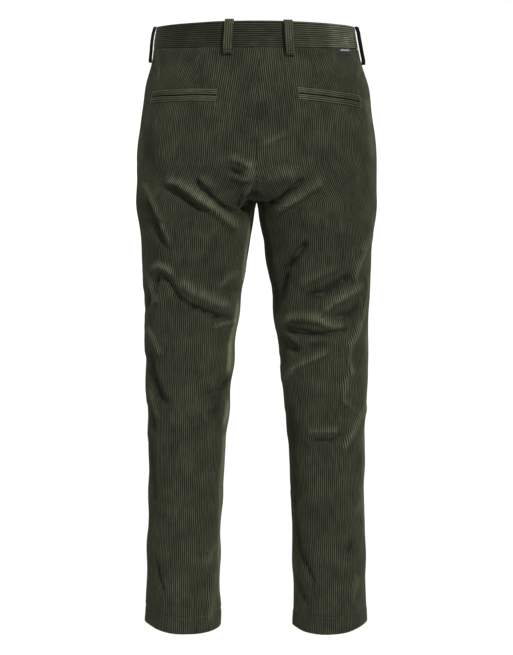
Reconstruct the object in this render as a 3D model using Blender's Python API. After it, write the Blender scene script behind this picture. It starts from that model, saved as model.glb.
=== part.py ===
"""Corduroy chino trousers, hollow and filled out as when worn, in metres with +Z up.

The garment faces -Y and the wearer's left is +X. The origin is the centre of the waist
opening. Every cloth piece is a wall cut from one surface: a shared tube round the hips
that divides at the crotch into a tube for each leg. On that surface, "across" runs from
the side seam (0) to the inner seam (1), and a "lift" is a distance out of the surface.
"""

import math
from collections import namedtuple

import bmesh
import bpy
import numpy as np

# ---- Driving dimensions -------------------------------------------------------------

CLOTH = 0.0015            # thickness of one layer of corduroy
BAND_CLOTH = 0.0020       # waistband: outer cloth, interlining and facing
SEAM_GAP = 0.0003         # clearance between neighbouring pieces
SEAM_MARGIN = 0.0006      # half a seam gap, as a share of a panel's width

BAND_SEAM_HEIGHT = -0.0243
BAND_TOP_SIDE = 0.0105
BAND_TOP_BACK_RISE = 0.0060
BAND_TOP_FRONT_DROP = 0.0030
BAND_OVER_LENGTH = 0.020      # left end, past the centre front, on the outside
BAND_UNDER_LENGTH = 0.035     # right end, past the centre front, beneath the left end
BAND_SINK_SPAN = (1.15, 2.3)  # where the right end dips under, in lengths of the left lap
BAND_GRID = (64, 3)           # columns round the waist and rows of points up the band

SEAT_HEIGHT = -0.185          # where the centre seams begin to curve under
CROTCH_HEIGHT = -0.2705
CROTCH_TURN = 4.0             # 2 is a round turn under the crotch, and more is a sharper one
CENTRE_POWER = 10             # the higher, the closer to the centre seam that turn stays
SPLIT_TOP = -0.200            # the side of the seat turns into the thigh between these
SPLIT_LOW = -0.345
FAN_LOW = -0.310              # height of the crotch row where it meets the side seam
KNEE_HEIGHT = -0.520
HEM_OUTER_HEIGHT = -0.9820
HEM_INNER_HEIGHT = -0.9885
HEM_DEPTH = 0.030             # height of the turned-up hem, which doubles the cloth
LEG_SQUARENESS = 0.80         # 1 is an oval leg, and less is one with a flatter front and back
HIP_SQUARENESS = 0.88         # and the same for the seat
SQUARE_TOP, SQUARE_LOW = -0.060, -0.180     # where the oval waist turns into the squarer seat
HEM_PINCH = 0.75              # how far the hem's section draws in to a point at its seams
SEAT_SEAM_LEAN = 0.018        # share by which the seat seam leans to the right at the waist

Section = namedtuple("Section", "height half_width front back")
HIP_SECTIONS = (
    Section(0.020, 0.1555, 0.0960, 0.0990),
    Section(0.010, 0.1565, 0.0970, 0.1000),
    Section(-0.024, 0.1635, 0.1010, 0.1050),
    Section(-0.055, 0.1712, 0.1045, 0.1110),
    Section(-0.096, 0.1818, 0.1080, 0.1200),
    Section(-0.140, 0.1900, 0.1090, 0.1290),
    Section(-0.185, 0.1945, 0.1070, 0.1325),
    Section(-0.232, 0.1960, 0.1020, 0.1300),
    Section(-0.270, 0.1958, 0.0975, 0.1250),
    Section(-0.311, 0.1925, 0.0940, 0.1130),
    Section(-0.350, 0.1893, 0.0900, 0.1000),
)

LegSection = namedtuple("LegSection", "height centre half_width front back middle")
LEG_SECTIONS = (
    LegSection(-0.150, 0.0975, 0.0973, 0.1000, 0.1230, 0.0000),
    LegSection(-0.270, 0.0980, 0.0978, 0.0975, 0.1170, 0.0000),
    LegSection(-0.311, 0.1000, 0.0926, 0.0945, 0.1060, -0.0010),
    LegSection(-0.350, 0.1014, 0.0879, 0.0905, 0.0950, -0.0030),
    LegSection(-0.430, 0.1066, 0.0802, 0.0840, 0.0850, -0.0060),
    LegSection(-0.510, 0.1104, 0.0747, 0.0790, 0.0770, -0.0080),
    LegSection(-0.591, 0.1143, 0.0701, 0.0730, 0.0740, -0.0060),
    LegSection(-0.673, 0.1164, 0.0653, 0.0670, 0.0710, -0.0020),
    LegSection(-0.756, 0.1185, 0.0629, 0.0630, 0.0680, 0.0020),
    LegSection(-0.839, 0.1217, 0.0617, 0.0610, 0.0650, 0.0040),
    LegSection(-0.923, 0.1243, 0.0625, 0.0610, 0.0640, 0.0040),
    LegSection(-0.995, 0.1245, 0.0640, 0.0620, 0.0640, 0.0030),
)

# The largest folds, as soft ridges (+) and troughs (-) from a start to an end point.
Fold = namedtuple("Fold", "side face x_start z_start x_end z_end depth width")
FOLDS = (
    Fold(+1, +1, 0.140, -0.240, 0.030, -0.315, +0.0045, 0.016),
    Fold(+1, +1, 0.140, -0.262, 0.070, -0.298, -0.0040, 0.014),
    Fold(+1, +1, 0.165, -0.385, 0.055, -0.448, +0.0045, 0.016),
    Fold(+1, +1, 0.150, -0.405, 0.050, -0.470, -0.0045, 0.015),
    Fold(-1, +1, -0.070, -0.245, -0.020, -0.282, -0.0045, 0.014),
    Fold(-1, +1, -0.115, -0.245, -0.030, -0.298, +0.0040, 0.016),
    Fold(-1, +1, -0.045, -0.455, -0.140, -0.468, +0.0045, 0.017),
    Fold(-1, +1, -0.045, -0.485, -0.140, -0.488, -0.0045, 0.015),
    Fold(-1, +1, -0.045, -0.560, -0.115, -0.520, +0.0030, 0.017),
    Fold(+1, -1, 0.030, -0.200, 0.120, -0.235, -0.0040, 0.015),
    Fold(+1, -1, 0.040, -0.245, 0.130, -0.275, +0.0040, 0.016),
    Fold(+1, -1, 0.060, -0.470, 0.160, -0.500, +0.0035, 0.018),
    Fold(-1, -1, -0.030, -0.205, -0.110, -0.230, -0.0040, 0.015),
    Fold(-1, -1, -0.045, -0.250, -0.140, -0.270, +0.0040, 0.016),
    Fold(-1, -1, -0.055, -0.500, -0.150, -0.480, +0.0035, 0.018),
)

ROWS_TO_SEAT = 6
ROWS_TO_CROTCH = 6
ROWS_TO_KNEE = 12
ROWS_TO_HEM = 11
PANEL_COLUMNS = 11

POCKET_MOUTH_TOP = 0.036      # slant side pocket: how far forward of the side seam it starts
POCKET_MOUTH_END = -0.185     # and the height where it reaches the side seam
POCKET_FACING_CLOTH = 0.0012  # its facing, which runs on under the front's first column
POCKET_UNDER_GAP = 0.0007     # clearance to the front, whose flat facets are skewed here
POCKET_END_SINK = 0.0012      # how much deeper the facing lies where the mouth closes
POCKET_END_WIDTH = 0.012      # the facing never gets narrower than this, as a share across
POCKET_OPEN_WIDTH = 0.03      # the mouth counts as closed below this share across
POCKET_OPEN_PLACES = (0.0, 0.5, 0.97)     # facing columns, as shares of the mouth
POCKET_UNDER_PLACES = (0.25, 0.85)        # and as shares of the front's first column

WELT_HEIGHT = 0.0093          # of one of a back pocket's two lips
WELT_SLIT = 0.0006            # between the lips
WELT_THICKNESS = 0.0012
WELT_GRID = (13, 3)           # columns and rows of points in a lip
Welt = namedtuple("Welt", "side outer_x inner_x outer_height inner_height")
WELTS = {
    "left": Welt(+1, 0.168, 0.061, -0.1015, -0.0990),
    "right": Welt(-1, 0.165, 0.064, -0.1085, -0.0955),
}

LOOP_WIDTH = 0.0140
LOOP_THICKNESS = 0.0026
LOOP_RISE = 0.17              # share of its length that each end takes to stand off
LOOP_STEPS = 12
Loop = namedtuple("Loop", "name angle top_rise foot_height stand_off")
LOOPS = (
    Loop("belt_loop_back_left", 74.8, 0.0030, -0.0350, 0.0070),
    Loop("belt_loop_back_right", 107.8, 0.0020, -0.0370, 0.0070),
    Loop("belt_loop_side_left", 0.0, 0.0005, -0.0465, 0.0060),
    Loop("belt_loop_side_right", 180.0, 0.0005, -0.0500, 0.0060),
    Loop("belt_loop_front_left", -67.5, 0.0010, -0.0380, 0.0070),
    Loop("belt_loop_front_right", -112.5, 0.0010, -0.0380, 0.0070),
)

FLY_LENGTH = 0.150            # down from the band seam
ZIP_WIDTH = 0.026
ZIP_TOP = -0.0440
ZIP_DEPTH = CLOTH + 0.0019    # how far inside the fronts' right side the tape lies
ZIP_THICKNESS = 0.0010
ZIP_GRID = (5, 10)            # columns and rows of points
FLY_SHIELD_WIDTH = 0.042
FLY_SHIELD_TOP = -0.0120
FLY_SHIELD_TAIL = 0.006       # how far it runs on below the tape
FLY_SHIELD_GRID = (7, 12)
SLIDER_SIZE = (0.0080, 0.0100)    # width, height
SLIDER_PROUD = 0.0010             # how far its face stands out from the tape
PULL_SIZE = (0.0060, 0.0240)
PULL_DROP = 0.0030                # how far below the slider's top its pull hangs
PULL_LEVELS = (0.0012, 0.0004)    # its two faces, out from the tape

BUTTON_RADIUS = 0.0085
BUTTON_THICKNESS = 0.0030
BUTTON_SEGMENTS = 24
BUTTON_PROFILE = (            # radius and level, as shares, from the raised rim to the foot
    (0.0, 0.8), (0.62, 0.8), (0.72, 1.0), (0.92, 1.0), (1.0, 0.7), (1.0, 0.3), (0.9, 0.0),
    (0.0, 0.0),
)

LABEL_SIDE_X = 0.140          # centre of the small tab under the band, right back
LABEL_SIZE = (0.035, 0.0095)
LABEL_THICKNESS = 0.0008
LABEL_DROP = 0.0012           # from the band seam to its top edge


# ---- The surface that all the cloth is cut from ----------------------------------------

def curve_through(table, column, height):
    """A column of a section table at any height, as a cubic curve through its rows."""
    rows = sorted(table)
    heights = np.array([row.height for row in rows])
    values = np.array([getattr(row, column) for row in rows])
    slopes = np.gradient(values, heights)
    low = np.clip(np.searchsorted(heights, height) - 1, 0, len(rows) - 2)
    span = heights[low + 1] - heights[low]
    t = np.clip((height - heights[low]) / span, 0.0, 1.0)
    from_low = values[low] * (1 + 2 * t) * (1 - t) ** 2 + slopes[low] * span * t * (1 - t) ** 2
    from_high = values[low + 1] * (3 - 2 * t) * t ** 2 - slopes[low + 1] * span * (1 - t) * t ** 2
    return from_low + from_high


def soft_step(t):
    """0 below 0, 1 above 1, and a smooth rise between."""
    t = np.clip(t, 0.0, 1.0)
    return t * t * (3 - 2 * t)


def squared(value, power):
    """A power of a number that may be negative, which keeps its sign."""
    return np.sign(value) * np.abs(value) ** power


def leg_share(across, height):
    """How far the tube of one leg has taken over from the tube round the hips."""
    under = np.clip((SEAT_HEIGHT - height) / (SEAT_HEIGHT - CROTCH_HEIGHT), 0.0, 1.0)
    at_centre_seam = 1 - (1 - under ** CROTCH_TURN) ** (1 / CROTCH_TURN)
    at_side = soft_step((SPLIT_TOP - height) / (SPLIT_TOP - SPLIT_LOW))
    near_centre = np.clip(across, 0.0, 1.0) ** CENTRE_POWER
    return near_centre * at_centre_seam + (1 - near_centre) * at_side


def plain_surface(side, face, across, height):
    """Points of the surface without folds. side is +1 for left, face is +1 for back."""
    depth = "back" if face > 0 else "front"
    lean_fade = np.clip(1 - height / SEAT_HEIGHT, 0.0, 1.0)
    lean = side * SEAT_SEAM_LEAN * lean_fade if face > 0 else 0.0
    angle = 0.5 * math.pi * across * (1 + lean)
    hip_x = curve_through(HIP_SECTIONS, "half_width", height) * np.cos(angle)
    squarer = soft_step((SQUARE_TOP - height) / (SQUARE_TOP - SQUARE_LOW))
    hip_bulge = squared(np.sin(angle), 1 - (1 - HIP_SQUARENESS) * squarer)
    hip_y = curve_through(HIP_SECTIONS, depth, height) * hip_bulge
    leg_centre = curve_through(LEG_SECTIONS, "centre", height)
    leg_half = curve_through(LEG_SECTIONS, "half_width", height)
    leg_half = np.minimum(leg_half, leg_centre - 0.7 * SEAM_GAP)
    leg_x = leg_centre + leg_half * np.cos(math.pi * across)
    bulge = squared(np.sin(math.pi * across), LEG_SQUARENESS)
    pinch = HEM_PINCH * np.clip(height / HEM_OUTER_HEIGHT, 0.0, 1.0) ** 3
    leg_y = curve_through(LEG_SECTIONS, depth, height) * bulge * (1 - pinch * (1 - bulge))
    share = leg_share(across, height)
    x = (1 - share) * hip_x + share * leg_x
    y = (1 - share) * hip_y + share * leg_y
    middle = curve_through(LEG_SECTIONS, "middle", height)
    return np.stack([side * x, face * y + middle, height + 0 * x], axis=-1)


def surface_normals(side, face, across, height):
    """Unit vectors out of the surface."""
    small_across, small_height = 0.002, 0.001
    along = plain_surface(side, face, across + small_across, height)
    along = along - plain_surface(side, face, across - small_across, height)
    down = plain_surface(side, face, across, height - small_height)
    down = down - plain_surface(side, face, across, height + small_height)
    normals = side * face * np.cross(down, along)
    return normals / np.linalg.norm(normals, axis=-1, keepdims=True)


def fold_lift(side, face, points, across):
    """Height of the folds at points of the surface, fading out towards the seams."""
    lift = np.zeros(points.shape[:-1])
    for fold in FOLDS:
        if (fold.side, fold.face) != (side, face):
            continue
        start = np.array([fold.x_start, fold.z_start])
        line = np.array([fold.x_end, fold.z_end]) - start
        offset = points[..., [0, 2]] - start
        along = np.clip(offset @ line / (line @ line), 0.0, 1.0)
        away = np.linalg.norm(offset - along[..., None] * line, axis=-1)
        taper = soft_step(0.25 + 2.0 * np.minimum(along, 1 - along))
        lift += fold.depth * taper * np.exp(-(away / fold.width) ** 2)
    seam_fade = soft_step(np.minimum(across, 1 - across) / 0.07)
    return lift * seam_fade


def cloth_points(side, face, across, height, lift):
    """Points at a lift from the folded surface. The inputs are arrays of one shape."""
    across, height, lift = np.broadcast_arrays(across, height, lift)
    points = plain_surface(side, face, across, height)
    out = surface_normals(side, face, across, height)
    total = lift + fold_lift(side, face, points, across)
    return points + out * total[..., None]


def width_at(side, face, height):
    """The width of a panel round the surface, from the side seam to the inner seam."""
    across = np.linspace(0.0, 1.0, 65)
    points = plain_surface(side, face, across, np.full(across.shape, height))
    return np.linalg.norm(np.diff(points, axis=0), axis=1).sum()


def across_at(side, face, x, height):
    """The place across a hip panel whose distance from the centre plane is x."""
    across = np.linspace(0.0, 1.0, 257)
    points = plain_surface(side, face, across, np.full(across.shape, height))
    return float(np.interp(-x, -side * points[:, 0], across))


# ---- Mesh helpers ------------------------------------------------------------------------

def clear_scene():
    for thing in list(bpy.data.objects):
        bpy.data.objects.remove(thing, do_unlink=True)


def make_material(name, colour, roughness, metallic=0.0):
    material = bpy.data.materials.new(name)
    material.use_nodes = True
    shader = material.node_tree.nodes["Principled BSDF"]
    shader.inputs["Base Color"].default_value = (*colour, 1.0)
    shader.inputs["Roughness"].default_value = roughness
    shader.inputs["Metallic"].default_value = metallic
    return material


def add_object(name, verts, faces, material):
    """A mesh object with its faces turned outwards and its soft edges smooth."""
    mesh = bpy.data.meshes.new(name)
    mesh.from_pydata([tuple(map(float, vert)) for vert in verts], [], faces)
    work = bmesh.new()
    work.from_mesh(mesh)
    bmesh.ops.recalc_face_normals(work, faces=work.faces)
    work.to_mesh(mesh)
    work.free()
    mesh.materials.append(material)
    mesh.shade_smooth()
    mesh.set_sharp_from_angle(angle=math.radians(40))
    thing = bpy.data.objects.new(name, mesh)
    bpy.context.collection.objects.link(thing)
    return thing


def add_wall(name, outer, inner, material):
    """A closed wall between two grids of points that have the same rows and columns."""
    rows, columns = outer.shape[:2]
    verts = np.concatenate([outer.reshape(-1, 3), inner.reshape(-1, 3)])
    beneath = rows * columns

    def at(row, column):
        return row * columns + column

    faces = []
    for row in range(rows - 1):
        for column in range(columns - 1):
            corners = [at(row, column), at(row, column + 1),
                       at(row + 1, column + 1), at(row + 1, column)]
            faces.append(corners)
            faces.append([beneath + corner for corner in reversed(corners)])
    rim = [at(0, column) for column in range(columns)]
    rim += [at(row, columns - 1) for row in range(1, rows)]
    rim += [at(rows - 1, column) for column in range(columns - 2, -1, -1)]
    rim += [at(row, 0) for row in range(rows - 2, 0, -1)]
    for here, there in zip(rim, rim[1:] + rim[:1]):
        faces.append([there, here, beneath + here, beneath + there])
    return add_object(name, verts, faces, material)


# ---- Panels ----------------------------------------------------------------------------------

def row_heights():
    """Heights of the panel's rows, as pairs at the side seam and at the inner seam."""
    pairs = []
    for height in np.linspace(BAND_SEAM_HEIGHT - SEAM_GAP, SEAT_HEIGHT, ROWS_TO_SEAT + 1):
        pairs.append((height, height))
    for step in range(1, ROWS_TO_CROTCH + 1):
        turn = step / ROWS_TO_CROTCH
        side = SEAT_HEIGHT + turn * (FAN_LOW - SEAT_HEIGHT)
        inner = SEAT_HEIGHT + math.sin(turn * math.pi / 2) * (CROTCH_HEIGHT - SEAT_HEIGHT)
        pairs.append((side, inner))
    for step in range(1, ROWS_TO_KNEE + 1):
        down = step / ROWS_TO_KNEE
        side = FAN_LOW + down * (KNEE_HEIGHT - FAN_LOW)
        inner = CROTCH_HEIGHT + down * (KNEE_HEIGHT - CROTCH_HEIGHT)
        pairs.append((side, inner))
    hem_line = 1 - HEM_DEPTH / (KNEE_HEIGHT - HEM_OUTER_HEIGHT)
    shin = list(np.linspace(0.0, hem_line, ROWS_TO_HEM)[1:]) + [hem_line + 0.002, 1.0]
    for down in shin:
        side = KNEE_HEIGHT + down * (HEM_OUTER_HEIGHT - KNEE_HEIGHT)
        inner = KNEE_HEIGHT + down * (HEM_INNER_HEIGHT - KNEE_HEIGHT)
        pairs.append((side, inner))
    return np.array(pairs)


def mouth_across(side, height):
    """Where the slant pocket's mouth crosses a front panel, 0 below the pocket."""
    down = (height - BAND_SEAM_HEIGHT) / (POCKET_MOUTH_END - BAND_SEAM_HEIGHT)
    reach = POCKET_MOUTH_TOP / width_at(side, -1, BAND_SEAM_HEIGHT)
    return reach * np.clip(1 - down, 0.0, 1.0)


def panel_grids(side, face):
    """The outer and inner points of a panel, in rows from the waist to the hem."""
    pairs = row_heights()
    outer_edge = np.full(len(pairs), SEAM_MARGIN)
    if face < 0:
        outer_edge = outer_edge + mouth_across(side, pairs[:, 0])
    share = np.linspace(0.0, 1.0, PANEL_COLUMNS + 1)
    across = outer_edge[:, None] + share * (1 - SEAM_MARGIN - outer_edge[:, None])
    turn = 0.5 - 0.5 * np.cos(math.pi * across)
    height = pairs[:, :1] + turn * (pairs[:, 1:] - pairs[:, :1])
    thickness = np.full(height.shape, CLOTH)
    thickness[-2:] = 2 * CLOTH
    outer = cloth_points(side, face, across, height, 0.0)
    inner = cloth_points(side, face, across, height, -thickness)
    for grid in (outer, inner):
        clear = side * np.maximum(side * grid[..., 0], SEAM_GAP / 2)
        grid[..., 0] = np.where(height < SEAT_HEIGHT, clear, grid[..., 0])
    return outer, inner


def build_pocket_facing(name, side, front_inner, material):
    """The cloth behind a slant pocket's mouth, from the side seam to under the front."""
    rows = ROWS_TO_SEAT + 1
    height = row_heights()[:rows, :1]
    mouth = mouth_across(side, height)
    closed_share = 1 - np.clip(mouth / POCKET_OPEN_WIDTH, 0.0, 1.0)
    open_share = np.array(POCKET_OPEN_PLACES)
    across = SEAM_MARGIN + open_share * np.maximum(mouth, POCKET_END_WIDTH)
    sink = CLOTH + 1.5 * SEAM_GAP + POCKET_END_SINK * closed_share
    lift = -sink * np.maximum(open_share, closed_share)
    open_height = height + 0 * across
    open_outer = cloth_points(side, -1, across, open_height, lift)
    open_inner = cloth_points(side, -1, across, open_height, lift - POCKET_FACING_CLOTH)

    edge, beyond = front_inner[:rows, 0], front_inner[:rows, 1]
    under_share = np.array(POCKET_UNDER_PLACES)[None, :, None]
    under = edge[:, None] + under_share * (beyond - edge)[:, None]
    inwards = cloth_points(side, -1, across[:, -1:], height, -1.0)
    inwards = inwards - cloth_points(side, -1, across[:, -1:], height, 0.0)
    under_outer = under + inwards * POCKET_UNDER_GAP
    under_inner = under_outer + inwards * POCKET_FACING_CLOTH
    outer = np.concatenate([open_outer, under_outer], axis=1)
    inner = np.concatenate([open_inner, under_inner], axis=1)
    return add_wall(name, outer, inner, material)


def build_welt(name, welt, upper, material):
    """One lip of a double-welt back pocket, lying on the back panel."""
    columns, rows = WELT_GRID
    ends = []
    for x, height in ((welt.outer_x, welt.outer_height), (welt.inner_x, welt.inner_height)):
        ends.append((across_at(welt.side, +1, x, height), height))
    share = np.linspace(0.0, 1.0, columns)
    across = ends[0][0] + share * (ends[1][0] - ends[0][0])
    slit = ends[0][1] + share * (ends[1][1] - ends[0][1])
    drop = np.linspace(0.0, WELT_HEIGHT, rows)[:, None]
    direction = 1 if upper else -1
    height = slit + direction * (WELT_SLIT / 2 + drop)
    across = across + 0 * height
    low = cloth_points(welt.side, +1, across, height, SEAM_GAP)
    high = cloth_points(welt.side, +1, across, height, SEAM_GAP + WELT_THICKNESS)
    return add_wall(name, high, low, material)


# ---- Waistband, loops, button and label ----------------------------------------------------

def ring_points(angle, height, lift):
    """Points of the hip ring at an angle in radians from +X, at a lift from its surface."""
    angle, height, lift = np.broadcast_arrays(angle, height, lift)
    half_width = curve_through(HIP_SECTIONS, "half_width", height)
    back = curve_through(HIP_SECTIONS, "back", height)
    front = curve_through(HIP_SECTIONS, "front", height)
    depth = np.where(np.sin(angle) > 0, back, front)
    normal = np.stack([depth * np.cos(angle), half_width * np.sin(angle)], axis=-1)
    normal /= np.linalg.norm(normal, axis=-1, keepdims=True)
    x = half_width * np.cos(angle) + lift * normal[..., 0]
    y = depth * np.sin(angle) + lift * normal[..., 1]
    return np.stack([x, y, height + 0 * x], axis=-1)


def band_top(angle):
    """Height of the waistband's top edge round the waist."""
    around = np.sin(angle)
    rise = BAND_TOP_BACK_RISE * np.clip(around, 0, 1) ** 2
    drop = BAND_TOP_FRONT_DROP * np.clip(-around, 0, 1) ** 2
    return BAND_TOP_SIDE + rise - drop


def build_waistband(material):
    """One long strip round the waist, whose left end laps over its right end in front."""
    columns, rows = BAND_GRID
    front_radius = curve_through(HIP_SECTIONS, "half_width", np.array(0.0))
    under = BAND_UNDER_LENGTH / front_radius
    over = BAND_OVER_LENGTH / front_radius
    full_turn = 2 * math.pi
    turn = np.linspace(-under, full_turn + over, columns + 1)
    angle = -math.pi / 2 - turn
    sink_start, sink_end = over * BAND_SINK_SPAN[0], over * BAND_SINK_SPAN[1]
    sunk = soft_step((sink_end - turn) / (sink_end - sink_start))
    lift = -(BAND_CLOTH + SEAM_GAP) * sunk
    share = np.linspace(0.0, 1.0, rows)[:, None]
    height = BAND_SEAM_HEIGHT + share * (band_top(angle) - BAND_SEAM_HEIGHT)
    outer = ring_points(angle, height, lift)
    inner = ring_points(angle, height, lift - BAND_CLOTH)
    return add_wall("waistband", outer, inner, material)


def build_loop(loop, material):
    """A strip from the band's top edge to below its seam, standing off between its ends."""
    middle = math.radians(loop.angle)
    top = float(band_top(np.array(middle))) + loop.top_rise
    share = np.linspace(0.0, 1.0, LOOP_STEPS + 1)[:, None]
    height = top + share * (loop.foot_height - top)
    rise = soft_step(np.minimum(share, 1 - share) / LOOP_RISE)
    lift = SEAM_GAP + loop.stand_off * rise
    centre = ring_points(middle, height[:, 0], 0.0 * height[:, 0])
    out = ring_points(middle, height[:, 0], 1.0 + 0.0 * height[:, 0]) - centre
    sideways = np.stack([-out[:, 1], out[:, 0], 0 * out[:, 0]], axis=-1)
    place = np.array([-LOOP_WIDTH / 2, LOOP_WIDTH / 2])
    base = centre[:, None] + sideways[:, None] * place[:, None]
    inner = base + out[:, None] * lift[..., None]
    outer = base + out[:, None] * (lift + LOOP_THICKNESS)[..., None]
    return add_wall(loop.name, outer, inner, material)


def build_button(material):
    """A turned button with a raised rim, leaning with the lapped end of the band."""
    front = np.array(-math.pi / 2)
    middle = (BAND_SEAM_HEIGHT + BAND_TOP_SIDE) / 2
    ends = ring_points(front, middle + np.array([-0.5, 0.5]) * 2 * BUTTON_RADIUS, 0.0)
    up = (ends[1] - ends[0]) / np.linalg.norm(ends[1] - ends[0])
    sideways = np.array([1.0, 0.0, 0.0])
    out = np.cross(sideways, up)
    foot = ends.mean(axis=0) + 1.5 * SEAM_GAP * out
    segments = BUTTON_SEGMENTS
    verts, rings = [], []
    for radius, level in BUTTON_PROFILE:
        centre = foot + level * BUTTON_THICKNESS * out
        if radius == 0.0:
            rings.append([len(verts)] * segments)
            verts.append(centre)
            continue
        rings.append(list(range(len(verts), len(verts) + segments)))
        for step in range(segments):
            turn = 2 * math.pi * step / segments
            reach = math.cos(turn) * sideways + math.sin(turn) * up
            verts.append(centre + radius * BUTTON_RADIUS * reach)
    faces = []
    for first, second in zip(rings, rings[1:]):
        for step in range(segments):
            after = (step + 1) % segments
            corners = [first[step], first[after], second[after], second[step]]
            faces.append(list(dict.fromkeys(corners)))
    return add_object("waist_button", verts, faces, material)


def build_label(material):
    """A small plain tab sewn just under the band seam on the right back."""
    length, drop = LABEL_SIZE
    top = BAND_SEAM_HEIGHT - LABEL_DROP
    middle = across_at(-1, +1, LABEL_SIDE_X, top)
    reach = length / 2 / width_at(-1, +1, top)
    across = np.linspace(middle - reach, middle + reach, 5)
    height = np.linspace(top, top - drop, 3)[:, None] + 0 * across
    across = across + 0 * height
    low = cloth_points(-1, +1, across, height, SEAM_GAP)
    high = cloth_points(-1, +1, across, height, SEAM_GAP + LABEL_THICKNESS)
    return add_wall("waist_label", high, low, material)


# ---- Fly, inside the centre front ---------------------------------------------------------

def front_strip(width, top, bottom, grid):
    """A grid of places and heights for a strip centred on the centre front."""
    columns, rows = grid
    place = np.linspace(-width / 2, width / 2, columns)
    height = np.linspace(top, bottom, rows)[:, None] + 0 * place
    return place + 0 * height, height


def front_points(place, height, lift):
    """Points inside the centre front, place metres to the left of the centre seam."""
    half_width = curve_through(HIP_SECTIONS, "half_width", height)
    across = 1 - np.arcsin(np.abs(place) / half_width) * 2 / math.pi
    points = plain_surface(+1, -1, across, height)
    out = surface_normals(+1, -1, across, height)
    out[..., 0] = np.where(place == 0, 0.0, out[..., 0])
    points = points + out * np.asarray(lift)[..., None]
    points[..., 0] *= np.where(place < 0, -1, 1)
    return points


def build_fly(cloth, metal):
    """Zip tape, slider with its pull, and the shield behind them."""
    bottom = BAND_SEAM_HEIGHT - FLY_LENGTH
    place, height = front_strip(ZIP_WIDTH, ZIP_TOP, bottom, ZIP_GRID)
    add_wall("zip_tape", front_points(place, height, -ZIP_DEPTH),
             front_points(place, height, -ZIP_DEPTH - ZIP_THICKNESS), cloth)

    shield_lift = -ZIP_DEPTH - ZIP_THICKNESS - SEAM_GAP
    place, height = front_strip(FLY_SHIELD_WIDTH, FLY_SHIELD_TOP, bottom - FLY_SHIELD_TAIL,
                                FLY_SHIELD_GRID)
    add_wall("fly_shield", front_points(place, height, shield_lift),
             front_points(place, height, shield_lift - CLOTH), cloth)

    slider_bottom = ZIP_TOP + SEAM_GAP
    slider_top = slider_bottom + SLIDER_SIZE[1]
    pull_bottom = slider_top - PULL_DROP - PULL_SIZE[1]
    body_outer, body_inner = -ZIP_DEPTH + SLIDER_PROUD, -ZIP_DEPTH - ZIP_THICKNESS
    pull_outer, pull_inner = (-ZIP_DEPTH + level for level in PULL_LEVELS)
    Level = namedtuple("Level", "height half_width outer inner")
    levels = (
        Level(slider_top, SLIDER_SIZE[0] / 2, body_outer, body_inner),
        Level(slider_bottom, SLIDER_SIZE[0] / 2, body_outer, body_inner),
        Level(slider_bottom - SEAM_GAP / 3, PULL_SIZE[0] / 2, pull_outer, pull_inner),
        Level(pull_bottom, PULL_SIZE[0] / 2, pull_outer, pull_inner),
    )
    place = np.array([[-level.half_width, 0.0, level.half_width] for level in levels])
    height = np.array([[level.height] * 3 for level in levels])
    outer = np.array([[level.outer] * 3 for level in levels])
    inner = np.array([[level.inner] * 3 for level in levels])
    add_wall("zip_slider", front_points(place, height, outer),
             front_points(place, height, inner), metal)


# ---- The whole garment -----------------------------------------------------------------------

def build_trousers():
    clear_scene()
    olive = (0.0325, 0.0335, 0.0225)
    corduroy = make_material("olive_corduroy", olive, 0.95)
    band_cloth = make_material("band_corduroy", (0.036, 0.037, 0.025), 0.95)
    welt_cloth = make_material("welt_corduroy", (0.030, 0.031, 0.021), 0.95)
    facing_cloth = make_material("facing_corduroy", (0.028, 0.029, 0.020), 0.95)
    tape = make_material("zip_tape_cloth", (0.020, 0.021, 0.015), 0.9)
    brass = make_material("slider_brass", (0.30, 0.22, 0.10), 0.4, 1.0)
    horn = make_material("horn_button", (0.045, 0.036, 0.026), 0.35)
    label_cloth = make_material("label_weave", (0.015, 0.015, 0.015), 0.8)

    for side, side_name in ((+1, "left"), (-1, "right")):
        add_wall(f"back_{side_name}", *panel_grids(side, +1), corduroy)
        front_outer, front_inner = panel_grids(side, -1)
        add_wall(f"front_{side_name}", front_outer, front_inner, corduroy)
        facing_name = f"side_pocket_facing_{side_name}"
        build_pocket_facing(facing_name, side, front_inner, facing_cloth)
        build_welt(f"pocket_welt_upper_{side_name}", WELTS[side_name], True, welt_cloth)
        build_welt(f"pocket_welt_lower_{side_name}", WELTS[side_name], False, welt_cloth)
    build_waistband(band_cloth)
    for loop in LOOPS:
        build_loop(loop, band_cloth)
    build_button(horn)
    build_label(label_cloth)
    build_fly(tape, brass)


build_trousers()
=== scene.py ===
import math
from collections import namedtuple

import bmesh
import bpy
import numpy as np
from mathutils import Matrix


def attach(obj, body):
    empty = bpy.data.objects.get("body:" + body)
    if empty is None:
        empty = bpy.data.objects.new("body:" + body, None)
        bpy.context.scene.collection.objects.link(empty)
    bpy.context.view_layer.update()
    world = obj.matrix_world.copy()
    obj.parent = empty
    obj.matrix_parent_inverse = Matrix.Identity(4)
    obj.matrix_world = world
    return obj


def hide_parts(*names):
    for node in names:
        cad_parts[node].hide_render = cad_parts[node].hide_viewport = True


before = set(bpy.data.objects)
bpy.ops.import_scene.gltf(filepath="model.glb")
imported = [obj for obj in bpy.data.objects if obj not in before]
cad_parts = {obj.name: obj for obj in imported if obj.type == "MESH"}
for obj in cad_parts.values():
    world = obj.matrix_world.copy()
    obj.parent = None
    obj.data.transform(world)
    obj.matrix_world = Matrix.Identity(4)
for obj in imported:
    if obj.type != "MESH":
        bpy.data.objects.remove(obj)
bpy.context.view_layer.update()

# ---- Camera -------------------------------------------------------------------------
# It stands behind the garment, level with its seat, and looks slightly down. The creases
# of the back are placed by the photograph's own pixels, through this same camera.

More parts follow.
